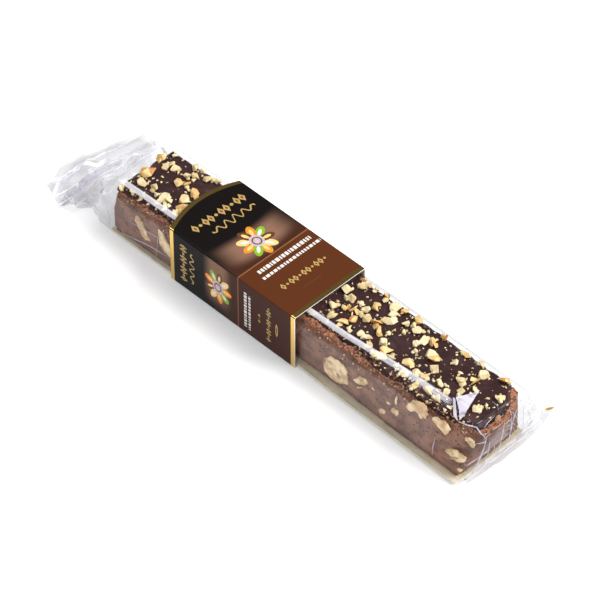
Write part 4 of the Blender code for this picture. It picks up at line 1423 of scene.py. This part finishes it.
def film_rings():
    """All the film's rings: the main ones softened, with steps between them."""
    stations = film_stations()
    rings = []
    for (ring, steps), (following, _) in zip(stations, stations[1:]):
        start, end = softened(ring), softened(following)
        for step in range(steps):
            rings.append([a.lerp(b, step / steps) for a, b in zip(start, end)])
    return [*rings, softened(stations[-1][0])]


def crumpled(point, coarse, fine):
    """A point of the smooth film moved out or in by its folds and ripples."""
    left = smoothstep(*CRUMPLES_LEFT, point.x)
    left *= 0.25 + 0.75 * smoothstep(*LEFT_CRIMP, point.x)
    right = smoothstep(*CRUMPLES_RIGHT, point.x) * 0.35
    loose = max(left, right)
    shift = folds(point, coarse) * loose + folds(point, fine) * loose * 0.5
    ripple = noise.noise(Vector((point.x * 0.35, point.y, point.z)) * 60) * 0.10 * MM
    outward = Vector((0, point.y, point.z - 12 * MM)).normalized()
    lifted = point + outward * (shift + ripple)
    lifted.z = max(lifted.z, 0.45 * MM)
    return lifted


class NOUGAT_OT_film(bpy.types.Operator):
    """Wraps the bar in clear film: taut along the bar, crumpled and crimped at both ends."""

    bl_idname = "nougat.film"
    bl_label = "Clear film"

    def execute(self, context):
        settings = context.scene.nougat_bar
        draw = random.Random(settings.seed + 3)
        coarse = crumple_directions(draw, 4, 7 * MM, 16 * MM)
        fine = crumple_directions(draw, 4, 2.5 * MM, 5 * MM)
        bm = bmesh.new()
        rows = [
            [bm.verts.new(crumpled(point, coarse, fine)) for point in ring]
            for ring in film_rings()
        ]
        for row, following in zip(rows, rows[1:]):
            for a, b, c, d in zip(row, row[1:], following[1:], following):
                bm.faces.new((d, c, b, a))
        film = piece("film_wrap", bm, [film_material(settings)])
        offsets = film.data.attributes.new(HIGHLIGHT_STRIPE_OFFSET, "FLOAT", "POINT")
        for vert, offset in zip(film.data.vertices, offsets.data):
            off = vert.co.y - along(GLEAM_LINE, vert.co.x / MM) * MM
            # Points below the shoulder are given as far off, so that no painted highlight stripe
            # shows there
            offset.value = off if vert.co.z > 25 * MM else math.copysign(99 * MM, off)
        film.data.set_sharp_from_angle(angle=math.radians(18))
        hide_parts("clear_wrap")
        return {"FINISHED"}


def seen_on(surface, column, row):
    """The distance at which a pixel's sight line meets a surface or passes nearest to it.

    Also returns how far the line misses the surface.
    """
    direction = sight_line(column, row)
    _, _, _, distance = surface.ray_cast(EYE, direction)
    if distance is not None:
        return distance, 0.0
    distance = DISTANCE
    for _ in range(4):
        nearest, _, _, gap = surface.find_nearest(EYE + direction * distance)
        distance = (nearest - EYE).dot(direction)
    return distance, gap


def placed(column, row, distance):
    """The point of a pixel's sight line a little nearer than distance, above the ground."""
    point = EYE + sight_line(column, row) * (distance - CREASE_LIFT)
    point.z = max(point.z, 0.1 * MM)
    return point


def crease(bm, surface, width, bends):
    """A thin strip along the film through the bends, drawn to a point at both ends."""
    stations = []
    for (c0, r0), (c1, r1) in zip(bends, bends[1:]):
        steps = max(int(math.hypot(c1 - c0, r1 - r0) / 1.5), 1)
        run = Vector((c1 - c0, r1 - r0)).normalized()
        shares = [step / steps for step in range(steps)]
        stations += [(c0 + (c1 - c0) * k, r0 + (r1 - r0) * k, run) for k in shares]
    stations.append((*bends[-1], run))
    rows = []
    for index, (column, row, run) in enumerate(stations):
        distance, gap = seen_on(surface, column, row)
        if gap > WIDEST_MISS:
            continue
        share = index / (len(stations) - 1)
        half = width / 2 * (0.25 + 0.75 * math.sin(math.pi * share)) * (0.8 + 0.3 * (index % 2))
        side = Vector((-run.y, run.x)) * half
        rows.append(
            [bm.verts.new(placed(column + side.x * k, row + side.y * k, distance)) for k in (-1, 1)]
        )
    for (a, b), (c, d) in zip(rows, rows[1:]):
        if (a.co - c.co).length < CREASE_STEP:
            bm.faces.new((a, c, d, b))


class NOUGAT_OT_creases(bpy.types.Operator):
    """Adds the film's white creases and faces, painted highlights of its folds, the gold strip on
    its tip and the dark specks.
    """

    bl_idname = "nougat.creases"
    bl_label = "Film creases"

    def execute(self, context):
        draw = random.Random(context.scene.nougat_bar.seed + 5)
        surface = tree_of("film_wrap")
        bm = bmesh.new()
        # The white strips and faces drawn here are painted highlights of the film's folds
        for width, bends in FILM_CREASE_GLINTS:
            crease(bm, surface, width, bends)
        for (low_u, high_u, low_v, high_v), lean, count in CREASE_GLINT_PATCHES:
            for _ in range(count):
                at = Vector((draw.uniform(low_u, high_u), draw.uniform(low_v, high_v)))
                bends = [tuple(at)]
                for _ in range(draw.randint(1, 3)):
                    angle = math.radians(lean + draw.gauss(0, 34))
                    at += Vector((math.cos(angle), math.sin(angle))) * draw.uniform(2.5, 8.0)
                    bends.append(tuple(at))
                if surface.ray_cast(EYE, sight_line(*bends[0]))[0] is not None:
                    crease(bm, surface, draw.uniform(0.3, 0.75), bends)
        for corners in FILM_GLINT_FACES:
            verts = [bm.verts.new(placed(*spot, seen_on(surface, *spot)[0])) for spot in corners]
            bm.faces.new(verts)
        bmesh.ops.triangulate(bm, faces=bm.faces)
        piece("film_creases", bm, [crease_glint_material()], smooth=False)
        bm = bmesh.new()
        crease(bm, surface, *TIP_PRINT)
        piece("tip_print", bm, [ink("tip ink", (0.62, 0.36, 0.03))], smooth=False)
        bm = bmesh.new()
        for column, row in SPECKS:
            distance, _ = seen_on(surface, column, row)
            size = draw.uniform(0.35, 0.7) * MM
            chunk(bm, placed(column, row, distance), size, size, draw, corners=8, soften=False)
        dark = ink("dark speck", (0.05, 0.02, 0.015))
        piece("film_specks", bm, [dark], smooth=False)
        return {"FINISHED"}


# The stage


def soft_light(name, power, size, place_at, aim, colour, glossy_only=False):
    """An area light that looks at aim; a glossy-only one is seen in reflections alone."""
    light = bpy.data.lights.new(name, "AREA")
    light.shape = "RECTANGLE"
    light.size, light.size_y = size
    light.energy = power
    light.color = colour
    obj = bpy.data.objects.new(name, light)
    obj.location = place_at
    obj.rotation_euler = (aim - Vector(place_at)).to_track_quat("-Z", "Y").to_euler()
    obj.visible_diffuse = not glossy_only
    bpy.context.scene.collection.objects.link(obj)


class NOUGAT_OT_stage(bpy.types.Operator):
    """Sets up the camera, the white floor, the pale surroundings and the soft lights."""

    bl_idname = "nougat.stage"
    bl_label = "Stage"

    def execute(self, context):
        scene = context.scene
        scene.view_settings.view_transform = "Standard"
        data = bpy.data.cameras.new("camera")
        data.lens = FOCAL_LENGTH_MM
        data.sensor_width = SENSOR_MM
        data.clip_end = 20.0
        camera = bpy.data.objects.new("camera", data)
        camera.location = EYE
        camera.rotation_euler = (-TO_CAMERA).to_track_quat("-Z", "Y").to_euler()
        scene.collection.objects.link(camera)
        scene.camera = camera
        bm = bmesh.new()
        bmesh.ops.create_grid(bm, x_segments=8, y_segments=8, size=3.0)
        mesh = bpy.data.meshes.new("floor")
        bm.to_mesh(mesh)
        bm.free()
        # A faint light of its own keeps the floor's shadows as pale as the photograph's
        glow = {"Emission_Color": (1.0, 1.0, 1.0, 1.0), "Emission_Strength": 0.17}
        white, _, _ = new_surface("white floor", (0.88, 0.88, 0.88), 0.9, **glow)
        mesh.materials.append(white)
        mesh.transform(Matrix.Translation((0, 0, -FLOOR_DROP)))
        floor = bpy.data.objects.new("floor", mesh)
        scene.collection.objects.link(floor)
        world = bpy.data.worlds.new("surroundings")
        scene.world = world
        world.use_nodes = True
        tree = world.node_tree
        mirrored = add(tree, "LightPath").outputs["Is Glossy Ray"]
        strength = maths(tree, "MULTIPLY_ADD", mirrored, ROOM_IN_GLOSS - ROOM_LIGHT, ROOM_LIGHT)
        tree.links.new(strength, tree.nodes["Background"].inputs[1])
        tree.nodes["Background"].inputs[0].default_value = (0.97, 0.98, 1.0, 1.0)
        soft_light("key", 56.0, (1.3, 1.3), (0.9, 0.9, 1.5), AIM, (1.0, 0.985, 0.96))
        gleam_at = AIM + Vector((-0.496, -0.05, 0.868)) * 1.5
        soft_light("shoulder gleam", 12.0, (0.42, 1.3), gleam_at, AIM, (0.92, 0.9, 1.0), True)
        return {"FINISHED"}


class NOUGAT_PT_panel(bpy.types.Panel):
    """Lists the pieces in the 3D view's sidebar."""

    bl_idname = "NOUGAT_PT_panel"
    bl_label = "Nougat bar"
    bl_space_type = "VIEW_3D"
    bl_region_type = "UI"
    bl_category = "Nougat bar"

    def draw(self, context):
        settings = context.scene.nougat_bar
        for name in NougatBarSettings.__annotations__:
            self.layout.prop(settings, name)
        for operator in OPERATORS:
            self.layout.operator(operator.bl_idname)


OPERATORS = (
    NOUGAT_OT_stage,
    NOUGAT_OT_block,
    NOUGAT_OT_side_nuts,
    NOUGAT_OT_chocolate,
    NOUGAT_OT_chopped_nuts,
    NOUGAT_OT_edge_crumbs,
    NOUGAT_OT_board,
    NOUGAT_OT_sleeve,
    NOUGAT_OT_print,
    NOUGAT_OT_film,
    NOUGAT_OT_creases,
)
CLASSES = (NougatBarSettings, *OPERATORS, NOUGAT_PT_panel)


def register():
    for cls in CLASSES:
        bpy.utils.register_class(cls)
    bpy.types.Scene.nougat_bar = PointerProperty(type=NougatBarSettings)


def unregister():
    del bpy.types.Scene.nougat_bar
    for cls in reversed(CLASSES):
        bpy.utils.unregister_class(cls)


def main():
    register()
    bpy.ops.nougat.stage()
    bpy.ops.nougat.block()
    bpy.ops.nougat.side_nuts()
    bpy.ops.nougat.chocolate()
    bpy.ops.nougat.chopped_nuts()
    bpy.ops.nougat.edge_crumbs()
    bpy.ops.nougat.board()
    bpy.ops.nougat.sleeve()
    bpy.ops.nougat.print()
    bpy.ops.nougat.film()
    bpy.ops.nougat.creases()


if __name__ == "__main__":
    main()
